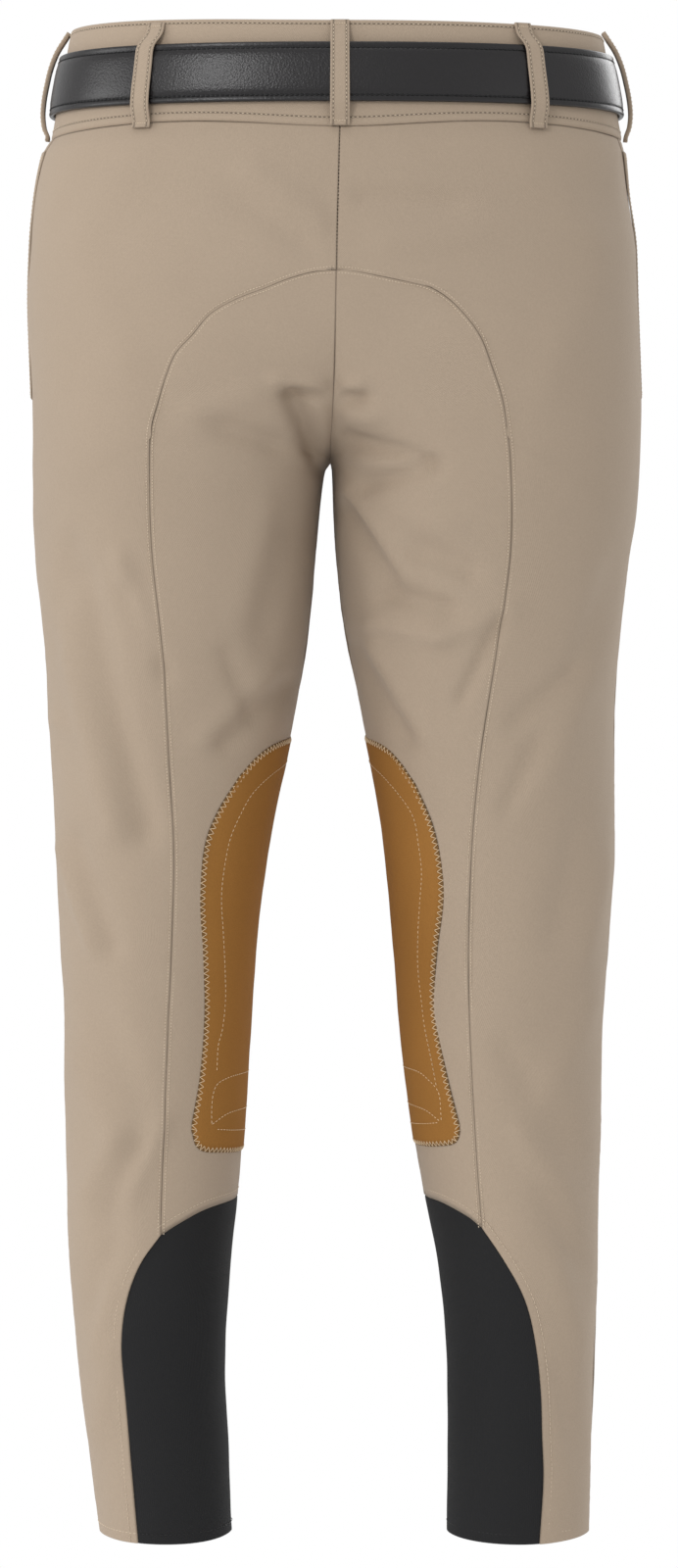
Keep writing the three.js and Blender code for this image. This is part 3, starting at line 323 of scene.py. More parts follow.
def smooth_curve(knots, spacing=2.0):
    """Closely spaced points of a smooth curve through the knots."""
    p = np.array(knots, float)
    gaps = np.sqrt(np.linalg.norm(np.diff(p, axis=0), axis=1))
    slopes = np.diff(p, axis=0) / gaps[:, None]
    m = np.empty_like(p)
    m[0], m[-1] = slopes[0], slopes[-1]
    w = gaps[:-1, None] / (gaps[:-1] + gaps[1:])[:, None]
    m[1:-1] = slopes[:-1] * (1 - w) + slopes[1:] * w
    out = []
    for i, span in enumerate(gaps):
        count = max(2, int(np.linalg.norm(p[i + 1] - p[i]) / spacing))
        f = np.linspace(0, 1, count, endpoint=False)[:, None]
        out.append(p[i] * (1 + 2 * f) * (1 - f) ** 2 + p[i + 1] * f * f * (3 - 2 * f)
                   + m[i] * span * f * (1 - f) ** 2 + m[i + 1] * span * f * f * (f - 1))
    return np.concatenate([*out, p[-1:]])


def seen_from_behind(side, places):
    """Stations of a smooth line through places of x and z on the back."""
    x, z = smooth_curve(places, 0.25).T
    return np.stack([turn_at_x(side, x, z), z], -1)


def from_inner_leg(side, height, places):
    """Stations of a smooth line from a height on the inner leg out over the back."""
    x, z = np.array(places, float).T
    stations = np.concatenate([[(2, height)], np.stack([turn_at_x(side, x, z), z], -1)])
    return smooth_curve(stations * TO_MM) / TO_MM


def run_along(points):
    """The distance run at each of the points of a line."""
    return np.concatenate([[0], np.linalg.norm(np.diff(points, axis=0), axis=1).cumsum()])


def pick(points, run, at):
    return np.stack([np.interp(at, run, points[:, k]) for k in range(points.shape[1])], -1)


def along_line(line, shares):
    """Stations of a line at shares of its length."""
    run = run_along(line * TO_MM)
    return pick(line, run / run[-1], shares)


def straight(start, end, count=60):
    f = np.linspace(0, 1, count)[:, None]
    return np.array(start) * (1 - f) + np.array(end) * f


def hem_z(turn):
    wave = np.sin(math.pi * turn)
    return HEM_Z - np.where(wave < 0, 4.5, 2.0) * wave ** 2


def waist_seam_z(turn):
    return -30.5 - 2.5 * np.cos(math.pi * turn) ** 2 + 1.5 * np.sin(math.pi * turn) ** 2


def waist_top_z(side, turn):
    return WAIST_TOP + (3 if side == "left" else -0.8) * np.sin(math.pi * turn / 2) ** 2


def side_turn(z):
    return 1 + 0.1 * np.exp(-(((z + 30) / 60) ** 2))


def front_of(line):
    return line * (-1, 1) + (2, 0)


def over_inner_leg(line):
    return line - (2, 0)


def round_inner_leg(line):
    """A line that starts on the inner leg, drawn over it from its mirror on the back to the front."""
    return np.concatenate([over_inner_leg(line)[::-1], front_of(line)[1:]])


def level_line(start, end, height):
    turn = np.linspace(start[0], end[0], 60)
    return np.stack([turn, height(turn)], -1)


def seam_lines(side):
    whole = seen_from_behind(side, [(float(LEVEL["centre"](ARCH_TOP_Z)), ARCH_TOP_Z), *ARCH[side],
                                    *LEG_SEAM[side][1:]])
    whole[0, 0] = 2.0
    split = int(np.argmax(whole[:, 1] <= ARCH[side][-1][1]))
    calf_edge = seen_from_behind(side, CALF_EDGE[side])
    calf_edge[-1, 1] = hem_z(calf_edge[-1, 0])
    side_z = np.linspace(float(waist_seam_z(1.0)), float(hem_z(1.0)), 240)
    return {
        "centre_back": straight((2, float(waist_seam_z(2.0))), (2, ARCH_TOP_Z)),
        "arch": whole[:split + 1], "leg": whole[split:], "arch_and_leg": whole,
        "calf_top": from_inner_leg(side, CALF_TOP_Z, CALF_TOP[side]), "calf_edge": calf_edge,
        "centre_front": straight((0, float(waist_seam_z(0.0))), (0, FORK_Z)),
        "fork_back": straight((2, ARCH_TOP_Z), (2, FORK_Z)),
        "inseam": straight((0, FORK_Z), (0, CALF_TOP_Z)),
        "side": np.stack([side_turn(side_z), side_z], -1),
    }


LINES = {side: seam_lines(side) for side in SIGN}


# Panels of cloth

FINE = np.array((0.4, 0.9, 1.6, 2.6, 4.0))
SEAM_DEPTH, SEAM_WIDTH, SEAM_SHADE = 0.4, 0.45, 0.5
PUCKER, PUCKER_REACH = 0.16, 6.0


def rail(runs, counts, fine_start=True, fine_end=True):
    """Stations along runs of lines, each in its own number of steps, with fine steps at the two ends."""
    points = []
    for k, (line, count) in enumerate(zip(runs, counts)):
        length = run_along(line * TO_MM)[-1]
        start = FINE / length if k == 0 and fine_start else np.zeros(0)
        end = 1 - FINE[::-1] / length if k == len(runs) - 1 and fine_end else np.zeros(0)
        low, high = (start[-1] if len(start) else 0), (end[0] if len(end) else 1)
        inner = np.linspace(low, high, count + 1 - len(start) - len(end))
        first, last = ([0] if len(start) else []), ([1] if len(end) else [])
        shares = np.concatenate([first, start[:-1], inner, end[1:], last])
        sampled = along_line(line, shares)
        points.append(sampled if k == 0 else sampled[1:])
    return np.concatenate(points)


def fill(left, right, top, foot, columns, gather=0.93):
    """A grid of stations between four edges, with its columns drawn close together at both sides."""
    rows = len(left)
    t = np.linspace(0, 1, columns + 1)
    share = t - gather * np.sin(2 * math.pi * t) / (2 * math.pi)
    over, down = share[None, :, None], np.linspace(0, 1, rows)[:, None, None]
    top_line, foot_line = along_line(top, share)[None], along_line(foot, share)[None]
    corners = ((1 - down) * ((1 - over) * top[0] + over * top[-1])
               + down * ((1 - over) * foot[0] + over * foot[-1]))
    return ((1 - over) * left[:, None] + over * right[:, None]
            + (1 - down) * top_line + down * foot_line - corners)


def edge_distances(points):
    """How far each point of a grid is from the left, right, top and foot edges."""
    across = np.linalg.norm(np.diff(points, axis=1), axis=-1).cumsum(1)
    across = np.concatenate([np.zeros((len(points), 1)), across], 1)
    down = np.linalg.norm(np.diff(points, axis=0), axis=-1).cumsum(0)
    down = np.concatenate([np.zeros((1, points.shape[1])), down], 0)
    return {"left": across, "right": across[:, -1:] - across, "top": down, "foot": down[-1:] - down}


def unevenness(points, size, seed):
    """Smooth rise and fall between about -1 and 1, with hollows of about the given size."""
    draw = np.random.default_rng(seed)
    total = np.zeros(points.shape[:-1])
    for _ in range(7):
        direction = unit(draw.normal(size=3)) / size * draw.uniform(0.7, 1.6)
        total += np.sin(points @ direction * 2 * math.pi + draw.uniform(0, 2 * math.pi))
    return total / 3.5


def mesh_piece(name, points, quads, uv=None, seam=None):
    """A closed piece from points in millimetres, its faces turned outwards; triangles repeat their last."""
    p = points[quads]
    volume = (p[:, 0] * np.cross(p[:, 1], p[:, 2])).sum() + (p[:, 0] * np.cross(p[:, 2], p[:, 3])).sum()
    mesh = bpy.data.meshes.new(name)
    faces = [tuple(q[:3]) if q[2] == q[3] else tuple(q) for q in quads.tolist()]
    mesh.from_pydata((points * MM).tolist(), [], faces)
    if volume < 0:
        mesh.flip_normals()
    if uv is not None:
        corners = np.empty(len(mesh.loops), np.int32)
        mesh.loops.foreach_get("vertex_index", corners)
        layer = mesh.uv_layers.new(name="cut")
        layer.data.foreach_set("uv", (uv[corners] * MM).astype(np.float32).ravel())
        # The seam attribute marks painted shade: the finishes darken the colour along seams, stitch grooves
        # and edges.
        seam = np.zeros(len(points)) if seam is None else seam
        mesh.attributes.new("seam", "FLOAT", "POINT").data.foreach_set("value", seam.astype(np.float32))
    mesh.shade_smooth()
    piece = bpy.data.objects.new(name, mesh)
    bpy.context.scene.collection.objects.link(piece)
    return piece


def shell(name, outer, inner, seam):
    """A closed wall between an outer and an inner grid, with its own cut as its map."""
    rows, columns = outer.shape[:2]
    count = rows * columns
    i, j = (k.ravel() for k in np.meshgrid(np.arange(rows - 1), np.arange(columns - 1), indexing="ij"))
    a = i * columns + j
    top = np.stack([a, a + columns, a + columns + 1, a + 1], -1)
    i, j = np.arange(rows - 1) * columns, np.arange(columns - 1)
    left = np.stack([i, i + count, i + columns + count, i + columns], -1)
    first = np.stack([j + 1, j + 1 + count, j + count, j], -1)
    quads = np.concatenate([top, top[:, ::-1] + count, left, left[:, ::-1] + columns - 1,
                            first, first[:, ::-1] + (rows - 1) * columns])
    edges = edge_distances(outer)
    uv = np.stack([edges["left"], edges["top"]], -1).reshape(-1, 2)
    return mesh_piece(name, np.concatenate([outer.reshape(-1, 3), inner.reshape(-1, 3)]), quads,
                      np.concatenate([uv, uv]), np.concatenate([seam.ravel()] * 2))


def panel(name, side, stations, seams, fork_edge=None, lift=0.0, thickness=CLOTH, seed=0):
    """A panel of cloth on its stations: it rolls down into its seams, with small puckers beside them."""
    base, normal = place(side, stations[..., 0], stations[..., 1], lift)
    edges = edge_distances(base)
    drop = 0.45 * unevenness(base, 95, seed + 11) + 0.16 * unevenness(base, 38, seed + 23)
    seam = np.zeros(base.shape[:2])
    from_fork = base[..., 2] - FORK_Z
    closed = np.clip((from_fork - 14) / 50, 0, 1) + np.clip((-40 - from_fork) / 30, 0, 1)
    for edge in seams:
        d = edges[edge]
        drop -= SEAM_DEPTH * np.exp(-(d / SEAM_WIDTH) ** 2) * (closed if edge == fork_edge else 1)
        along = edges["top"] if edge in ("left", "right") else edges["left"]
        wave = np.sin(along / 1.9 + 2.2 * np.sin(along / 11.3 + seed))
        wave *= 0.6 + 0.4 * np.sin(along / 17 + 2 * seed)
        drop += PUCKER * wave * np.exp(-(d / PUCKER_REACH) ** 2) * (1 - np.exp(-(d / 1.5) ** 2))
        # Painted shade: a narrow band along each seam line is marked to be painted darker, as the shadow in
        # its groove.
        seam = np.maximum(seam, 0.6 * np.exp(-(d / SEAM_SHADE) ** 2))
    if fork_edge:
        drop *= 1 - np.exp(-(edges[fork_edge] / 6) ** 2) * np.exp(-(from_fork / 45) ** 2) * (1 - closed)
    outer = base + normal * drop[..., None]
    return shell(name, outer, outer - normal * thickness, seam)


def back_panel(side, seed):
    s = LINES[side]
    inner = rail([s["centre_back"], s["arch"], s["leg"], s["calf_edge"]], [32, 50, 101, 50])
    outer = rail([s["side"]], [233])
    stations = fill(outer, inner, level_line(outer[0], inner[0], waist_seam_z),
                    level_line(outer[-1], inner[-1], hem_z), 52)
    return panel(f"back_cloth_{side}", side, stations, ("left", "right", "top"), seed=seed)


def seat_panel(side, seed):
    s = LINES[side]
    start = 3.0 / run_along(s["arch"] * TO_MM)[-1]
    arch = along_line(s["arch"], np.linspace(start, 1, 200))
    outer = rail([arch, s["leg"]], [70, 130], fine_end=False)
    inner = rail([s["fork_back"], s["inseam"] + (2, 0)], [70, 130], fine_end=False)
    top = along_line(s["arch"], np.linspace(start, 0, 12))
    return panel(f"seat_cloth_{side}", side, fill(outer, inner, top, s["calf_top"][::-1], 60),
                 ("left", "right", "top", "foot"), "right", seed=seed)


def front_calf_edge(side):
    edge = front_of(LINES[side]["calf_edge"])
    edge[-1, 1] = hem_z(edge[-1, 0])
    return edge


def front_panel(side, seed):
    s = LINES[side]
    inner = rail([s["centre_front"], s["inseam"], front_of(s["calf_top"]), front_calf_edge(side)],
                 [54, 105, 20, 54])
    outer = rail([s["side"]], [233])
    stations = fill(inner, outer, level_line(inner[0], outer[0], waist_seam_z),
                    level_line(inner[-1], outer[-1], hem_z), 66)
    return panel(f"front_cloth_{side}", side, stations, ("left", "right", "top"), "left", seed=seed)


def calf_panel(side, seed):
    s = LINES[side]
    left, right = rail([over_inner_leg(s["calf_edge"])], [62]), rail([front_calf_edge(side)], [62])
    stations = fill(left, right, round_inner_leg(s["calf_top"]), level_line(left[-1], right[-1], hem_z), 58)
    return panel(f"calf_knit_{side}", side, stations, ("left", "right", "top"), lift=-KNIT_SUNK,
                 thickness=KNIT_CLOTH, seed=seed)


def patch_lines(side):
    return {
        "edge": seen_from_behind(side, PATCH_EDGE[side]),
        "top": from_inner_leg(side, PATCH_TOP_Z[side], PATCH_TOP[side]),
        "foot": from_inner_leg(side, PATCH_FOOT_Z[side], PATCH_FOOT[side][::-1]),
    }


def knee_patch(side):
    lines = patch_lines(side)
    edge = rail([lines["edge"]], [110])
    stations = fill(over_inner_leg(edge), front_of(edge), round_inner_leg(lines["top"]),
                    round_inner_leg(lines["foot"]), 80, 0.85)
    base, normal = place(side, stations[..., 0], stations[..., 1])
    near = np.min(list(edge_distances(base).values()), axis=0)
    height = PATCH_LIFT + SUEDE * (1 - 0.75 * np.exp(-(near / 1.5) ** 2)) + 0.12 * unevenness(base, 26, 41)
    # Painted shade: the suede is marked to be painted darker towards its edge, where it slopes down to the
    # cloth.
    return shell(f"knee_patch_suede_{side}", base + normal * height[..., None], base + normal * SEWN_DOWN,
                 np.exp(-(near / 2.4) ** 2))


# Belt space: along the waistband from the centre front to the wearer's left, up, and out from it

def ring_place(turn, z, out):
    turn, z, out = np.broadcast_arrays(np.mod(turn, 4), np.asarray(z, float), np.asarray(out, float))
    on_left = turn <= 2
    left = place("left", np.where(on_left, turn, 1), z, out, folded=False)[0]
    right = place("right", np.where(on_left, 1, 4 - turn), z, out, folded=False)[0]
    return np.where(on_left[..., None], left, right)


RING_TURNS = np.linspace(0, 4, 1601)
RING_RUN = run_along(ring_place(RING_TURNS, BELT_MIDDLE, BAND_LIFT))
RING = RING_RUN[-1]
BACK = float(np.interp(2, RING_TURNS, RING_RUN))


def from_belt(along, height, out):
    turn = np.interp(np.mod(along, RING), RING_RUN, RING_TURNS)
    return ring_place(turn, height, BAND_LIFT + np.asarray(out))


def smooth_step(start, end, value):
    f = np.clip((value - start) / (end - start), 0, 1)
    return f * f * (3 - 2 * f)


def strap_out(along):
    """How far out the middle of the strap lies round its turn and over the buckle."""
    first = BELT_LIFT + BELT / 2
    raised = first + 1.5 * (1 - smooth_step(60, 110, along))
    over = HEEL_OUT + 6.1
    second = first + BELT + 0.3
    climb = first + (over - first) * smooth_step(RING + TOE_ALONG + 2, RING + HEEL_ALONG - 2, along)
    settle = ((over - second - 1.5) * smooth_step(RING + HEEL_ALONG, RING + 40, along)
              + 1.5 * smooth_step(RING + 60, RING + 110, along))
    return np.where(along < RING / 2, raised, climb - settle)


def strip_profile(width, thick, groove, dip=0.15, crown=0.0, edge=0.9):
    """A strip's cross-section, across, out and how far pressed in: its two stitch rows lie in grooves, which
    the last value also paints darker as shade.
    """
    half = width / 2
    side = [*(inset - half for inset in (0, 0.08, 0.3, 0.6, edge)), *(w - groove for w in (-0.5, 0, 0.5))]
    middle = [f * (groove - 1.1) for f in (-1, -0.75, -0.4, 0, 0.4, 0.75, 1)]
    across = np.array([*side, *middle, *(-w for w in side[::-1])])

    def rounding(w):
        inset = np.clip(1 - (half - np.abs(w)) / edge, 0, 1)
        return min(edge, thick / 2) * (1 - np.sqrt(1 - inset ** 2))

    pressed = np.exp(-((np.abs(across) - groove) / 0.5) ** 2)
    raised = crown * np.clip(1 - (across / (groove - 0.4)) ** 4, 0, 1)
    face = thick / 2 - rounding(across) - dip * pressed + raised
    under = across[::-1][1:-1:2]
    return np.concatenate([np.stack([across, face, pressed], -1),
                           np.stack([under, rounding(under) - thick / 2, 0 * under], -1)])


def swept(name, rings, uv, seam, closed=False):
    """A form from rings of points, either closed on itself or capped at both ends."""
    count, sides = rings.shape[:2]
    i, k = (v.ravel() for v in np.meshgrid(np.arange(count if closed else count - 1), np.arange(sides),
                                           indexing="ij"))
    after, following = (i + 1) % count * sides, (k + 1) % sides
    quads = np.stack([i * sides + k, i * sides + following, after + following, after + k], -1)
    points, uvs = rings.reshape(-1, 3), uv.reshape(-1, 2)
    seam = np.broadcast_to(seam, rings.shape[:2]).ravel()
    if not closed:
        points = np.concatenate([points, [rings[0].mean(0), rings[-1].mean(0)]])
        uvs = np.concatenate([uvs, [uv[0, 0], uv[-1, 0]]])
        seam = np.append(seam, (0, 0))
        k, last = np.arange(sides), (count - 1) * sides
        start = np.stack([np.full(sides, count * sides), (k + 1) % sides, k, k], -1)
        end = np.stack([np.full(sides, count * sides + 1), last + k, last + (k + 1) % sides,
                        last + (k + 1) % sides], -1)
        quads = np.concatenate([quads, start, end])
    return mesh_piece(name, points, quads, uvs, seam)


def path_normals(path, closed=False):
    """Unit normals of a flat path, on the left of its run."""
    tangent = np.roll(path, -1, 0) - np.roll(path, 1, 0) if closed else np.gradient(path, axis=0)
    return unit(np.stack([-tangent[:, 1], tangent[:, 0]], -1))


def strip(name, path, profile, to_belt, closed=False, shrink=1.0):
    """A strip swept along a flat path, its width square to the path's plane."""
    normal = path_normals(path, closed)
    profile = np.broadcast_to(profile, (len(path), *profile.shape[-2:]))
    w = profile[..., 0] * np.broadcast_to(shrink, len(path))[:, None]
    p, q = (path[:, None, k] + normal[:, None, k] * profile[..., 1] for k in (0, 1))
    uv = np.stack(np.broadcast_arrays(run_along(path)[:, None], profile[..., 0]), -1)
    # The profile's last value marks painted shade in the stitch grooves.
    return swept(name, from_belt(*to_belt(p, q, w)), uv, profile[..., 2], closed)


# Stitches: each row is the starts, ends and normals of its threads

def stitches_on(points, normals, pitch, share=0.72):
    run = run_along(points)
    count = max(1, int(run[-1] / pitch))
    starts = (np.arange(count) + 0.5 - share / 2) * run[-1] / count
    ends = starts + share * run[-1] / count
    return pick(points, run, starts), pick(points, run, ends), unit(pick(normals, run, (starts + ends) / 2))


def strip_row(path, to_belt, across, out, pitch, shrink=1.0, share=0.72):
    """Stitches along a strip, at a distance across it and out from the middle of its thickness."""
    normal, w = path_normals(path), across * np.broadcast_to(shrink, len(path))
    points, above = (from_belt(*to_belt(*(path + normal * h).T, w)) for h in (out, out + 1))
    return stitches_on(points, unit(above - points), pitch, share)


def beside(side, line, aside=0.0, out=0.0):
    """Closely spaced points and normals beside a line on the cloth, to the outer side of the leg."""
    dense = along_line(line, np.linspace(0, 1, max(12, int(run_along(line * TO_MM)[-1] / 1.2))))
    points, normals = place(side, dense[:, 0], dense[:, 1], out)
    return points + np.cross(normals, unit(np.gradient(points, axis=0))) * aside * SIGN[side], normals


def cloth_row(side, line, aside, pitch, out=0.0, share=0.72):
    return stitches_on(*beside(side, line, aside, out), pitch, share)


def zigzag_row(side, line, inside, outside, pitch):
    """A zigzag over the patch's edge: its corners lie by turns on the suede and on the cloth."""
    on_patch, normals = beside(side, line, inside, SUEDE + 0.38)
    on_leg, _ = beside(side, line, outside, 0.45)
    run = run_along(on_leg)
    at = np.arange(0, run[-1], pitch / 2)
    corner = np.where((np.arange(len(at)) % 2 == 0)[:, None], pick(on_patch, run, at), pick(on_leg, run, at))
    normal = unit(pick(normals, run, at))
    return (corner[:-1], corner[1:], unit(normal[:-1] + normal[1:])), (corner, normal)


def notch_shade_pieces(name, corner, normal):
    """Small dark pieces set in each of a zigzag's turns at the patch's edge, standing for the shade in the
    notches it pulls there: painted shade.
    """
    last = (len(corner) - 1) // 2 * 2
    low, inner, high = corner[1:last:2], corner[2:last + 1:2], corner[3:last + 2:2]
    out = normal[2:last + 1:2]
    count = min(len(low), len(inner), len(high))
    low, inner, high, out = low[:count], inner[:count], high[:count], out[:count]
    mouth = (low + high) / 2
    base = [low + (mouth - low) * 0.35, high + (mouth - high) * 0.35, mouth + (inner - mouth) * 0.62]
    lid = sum(base) / 3 + out * 0.22
    sunk, level = [p - out * 0.5 for p in base], [p + out * 0.05 for p in base]
    points = np.stack([*sunk, *level, lid], 1).reshape(-1, 3)
    faces = [(0, 2, 1, 1), (0, 1, 4, 3), (1, 2, 5, 4), (2, 0, 3, 5),
             (3, 4, 6, 6), (4, 5, 6, 6), (5, 3, 6, 6)]
    quads = ((np.arange(count) * 7)[:, None, None] + np.array(faces)[None]).reshape(-1, 4)
    return mesh_piece(name, points, quads)


def threads(name, rows, radius):
    """Short threads, each raised in its middle and sunk into the cloth at both ends."""
    starts, ends, normals = (np.concatenate([row[k] for row in rows]) for k in range(3))
    wide = unit(np.cross(unit(ends - starts), normals))
    rings = []
    for share, size, height in ((0.0, 0.75, -0.5), (0.3, 1.0, 0.54), (0.7, 1.0, 0.54), (1.0, 0.75, -0.5)):
        centre = starts * (1 - share) + ends * share + normals * radius * height
        rings.append(np.stack([centre + wide * (radius * size * x) + normals * (radius * size * y)
                               for x, y in ((1, 0), (0.4, 0.9), (-0.4, 0.9), (-1, 0))], 1))
    points = np.stack(rings, 1).reshape(-1, 3)
    faces = [(4 * r + k, 4 * r + (k + 1) % 4, 4 * r + 4 + (k + 1) % 4, 4 * r + 4 + k)
             for r in range(3) for k in range(4)] + [(3, 2, 1, 0), (12, 13, 14, 15)]
    quads = ((np.arange(len(starts)) * 16)[:, None, None] + np.array(faces)[None]).reshape(-1, 4)
    return mesh_piece(name, points, quads)


# Waistband, loops and trim

TOP_ROW, FOOT_ROW = 0.958, 0.077


def band_wave(side, turns):
    wave = 0.5 * np.sin(turns * 9 + SIGN[side]) + 0.25 * np.sin(turns * 23 + 2)
    return wave * np.sin(math.pi * turns / 2)


def waistband(side):
    """Half of the doubled waistband, with a rounded top edge and two pressed rows, painted darker as shade
    in their grooves.
    """
    turns = np.linspace(0, 2, 200)
    section = [(0.0, -BAND), (0.02, -BAND), (0.5, -BAND), (0.97, -BAND + 0.1), (0.99, -BAND + 0.5),
               (1.0, -BAND / 2), (0.993, -0.5), (0.982, -0.1), (0.969, 0.0), (TOP_ROW, -0.25), (0.947, 0.0),
               (0.85, 0.05), (0.5, 0.05), (0.2, 0.02), (0.088, 0.0), (FOOT_ROW, -0.25), (0.066, 0.0),
               (0.03, -0.05), (0.012, -0.45), (0.0, -1.2)]
    share, out = np.array(section).T
    top, foot = waist_top_z(side, turns), waist_seam_z(turns)
    z = foot[:, None] + (top - foot)[:, None] * share
    wave = band_wave(side, turns)[:, None] * (share - 0.3) ** 2
    points, _ = place(side, turns[:, None], z, BAND_LIFT + out + wave, folded=False)
    uv = np.stack(np.broadcast_arrays(run_along(points[:, 3])[:, None], run_along(points[0])[None]), -1)
    # Painted shade: the two pressed rows are marked to be painted darker, as the shadow in their grooves.
    pressed = np.exp(-((share - TOP_ROW) / 0.004) ** 2) + np.exp(-((share - FOOT_ROW) / 0.004) ** 2)
    return swept(f"waistband_cloth_{side}", points, uv, np.where(out > -0.3, 1.2 * pressed, 0.0))


def band_row(side, share, pitch=2.8):
    turns = np.linspace(0.004, 1.996, 700)
    top, foot = waist_top_z(side, turns), waist_seam_z(turns)
    lift = BAND_LIFT - 0.05 + band_wave(side, turns) * (share - 0.3) ** 2
    return stitches_on(*place(side, turns, foot + (top - foot) * share, lift, folded=False), pitch, 0.5)


LOOP_PATHS = {
    "flat": [(30.5, 1.0, 0), (28, 1.6, 0), (25, 2.3, 0), (21.5, 3.4, 0.5), (18.2, 5.1, 1), (13, 5.9, 1),
             (2, 6.3, 1), (-12, 6.9, 1), (-20, 6.4, 1), (-24.5, 4.6, 0.6), (-29, 2.4, 0), (-33.5, 1.4, 0)],
    "arched": [(33, 1.2, 0), (29.5, 2.6, 0), (20, 6.0, 1), (10, 8.0, 1), (0, 8.6, 1), (-10, 8.6, 1),
               (-19, 7.6, 1), (-26, 5.4, 1), (-31, 3.0, 0), (-34, 1.7, 0)],
}


def belt_loop(name, middle, stand, arched=False):
    """A loop: sewn at the band's top, over the belt, in under the waist seam; the back ones lean."""
    path = LOOP_PATHS["arched" if arched else "flat"]
    path = smooth_curve([(height, out + stand * share) for height, out, share in path], 1.2)[::-1]
    cloth = BOWED_LOOP_CLOTH if arched else LOOP_CLOTH
    from_centre = BACK - middle
    lean = math.copysign(1, from_centre) if 20 < abs(from_centre) < 150 else 0

    def to_belt(height, out, across):
        slide = lean * (4.0 * smooth_step(13, 26, height) - 0.03 * (height + 33))
        return middle + slide + across, height, out

    profile = strip_profile(LOOP_WIDTH, cloth, LOOP_ROW, dip=0.12, edge=0.7)
    piece = strip(f"{name}_cloth", path, profile, to_belt)
    rows = [strip_row(path[2:-2], to_belt, w, cloth / 2 - 0.05, 2.5, share=0.5)
            for w in (-LOOP_ROW, LOOP_ROW)]
    across = np.linspace(-3.6, 3.6, 12)
    for height, out in ((28.2, 2.3), (-31.0, 2.7)):
        points, above = (from_belt(*to_belt(np.full(12, height), out + h, across)) for h in (0, 1))
        rows.append(stitches_on(points, unit(above - points), 1.3, 0.85))
    return piece, rows


LOOPS = [
    ("loop_back_center", BACK, 0), ("loop_back_left", BACK - 118, 0), ("loop_back_right", BACK + 118, 0),
    ("loop_side_left", RING / 4 + 1, 0.4, True), ("loop_side_right", 3 * RING / 4 - 1, 0.4, True),
    ("loop_front_left", 96, 4.4), ("loop_front_right", RING - 96, 0),
]


def trim(name, points, normals):
    """A flat piece sewn on the cloth, with rounded edges and a pressed row."""
    near = np.min(list(edge_distances(points).values()), axis=0)
    pressed = 0.12 * np.exp(-((near - 4) / 0.5) ** 2)
    rise = TRIM_LIFT + TRIM * (1 - 0.8 * np.exp(-(near / 0.5) ** 2)) - pressed
    shade = 0.25 * np.exp(-(near / 0.6) ** 2)
    return shell(name, points + normals * rise[..., None], points + normals * SEWN_DOWN, shade)


def beside_pocket(side, z, across):
    """Points and normals in front of the side seam, at distances across from it."""
    seam, near = (place(side, side_turn(z) - step, z)[0] for step in (0, 0.01))
    pace = np.linalg.norm(near - seam, axis=-1) / 0.01
    turn = side_turn(z) - (0.5 + across) / pace
    return place(side, turn, np.broadcast_to(z, turn.shape))


def pocket_mouth(side):
    top, foot = [-41, -41.3, -41.7, -42.2], [-189.8, -190.3, -190.7, -191]
    z = np.concatenate([top, np.linspace(-43, -189, 90), foot])
    across = np.array([0, 0.25, 0.6, 1.1, 2, 3.2, 3.6, 4, 4.4, 4.8, 6, 7.5, 8.8, 9.4, 9.75, 10])
    return trim(f"pocket_mouth_cloth_{side}", *beside_pocket(side, z[:, None], across[None]))


def pocket_rows(side):
    on_top = TRIM_LIFT + TRIM - 0.1
    z = np.linspace(-44, -188, 200)
    points, normals = beside_pocket(side, z, np.full(200, 4.0))
    rows = [stitches_on(points + normals * on_top, normals, 2.7)]
    for height in (-44.5, -46.0, -186.5, -188.0):
        across = np.linspace(0.8, 9.2, 12)
        points, normals = beside_pocket(side, np.full(12, height), across)
        rows.append(stitches_on(points + normals * on_top, normals, 1.2, 0.85))
    return rows


FLY_WIDTH, FLY_FOOT, FLY_BEND = 38.0, -176.0, 44.0


def front_place(x, z):
    """Points and normals at x and z on the front, on either side of the centre line."""
    on_right = x < LEVEL["centre"](z)
    left = place("left", 2 - turn_at_x("left", np.where(on_right, 5, x), z), z)
    right = place("right", 2 - turn_at_x("right", np.where(on_right, x, -5), z), z)
    return tuple(np.where(on_right[..., None], r, l) for l, r in zip(left, right))


def fly_reach(z, inset=0.0):
    low = np.clip((FLY_FOOT + FLY_BEND - z) / (FLY_BEND - inset), 0, 1)
    return 6 + (FLY_WIDTH - 6 - inset) * np.sqrt(1 - low ** 2)


def fly_lap():
    top = float(waist_seam_z(0.0)) - 1
    down = np.concatenate([[0, 0.002, 0.005, 0.01], 1 - (1 - np.linspace(0.02, 1, 70)) ** 1.5])[:, None]
    z = top + (FLY_FOOT - top) * down
    t = np.linspace(0, 1, 34)[None]
    share = t - 0.9 * np.sin(2 * math.pi * t) / (2 * math.pi)
    x = LEVEL["centre"](z) - 5 + (fly_reach(z) + 5) * share
    return trim("fly_lap_cloth", *front_place(x, np.broadcast_to(z, x.shape)))


def fly_row(inset):
    """The curved row of stitches that holds the fly's facing."""
    z = np.linspace(float(waist_seam_z(0.0)) - 2, FLY_FOOT + inset, 260)
    x = LEVEL["centre"](z) + fly_reach(z, inset)
    points, normals = front_place(np.append(x, x[-1] - 8), np.append(z, z[-1]))
    return stitches_on(points + normals * (TRIM_LIFT + TRIM - 0.08), normals, 2.7)


# Belt and buckle

FOLD_END = HEEL_ALONG + 22


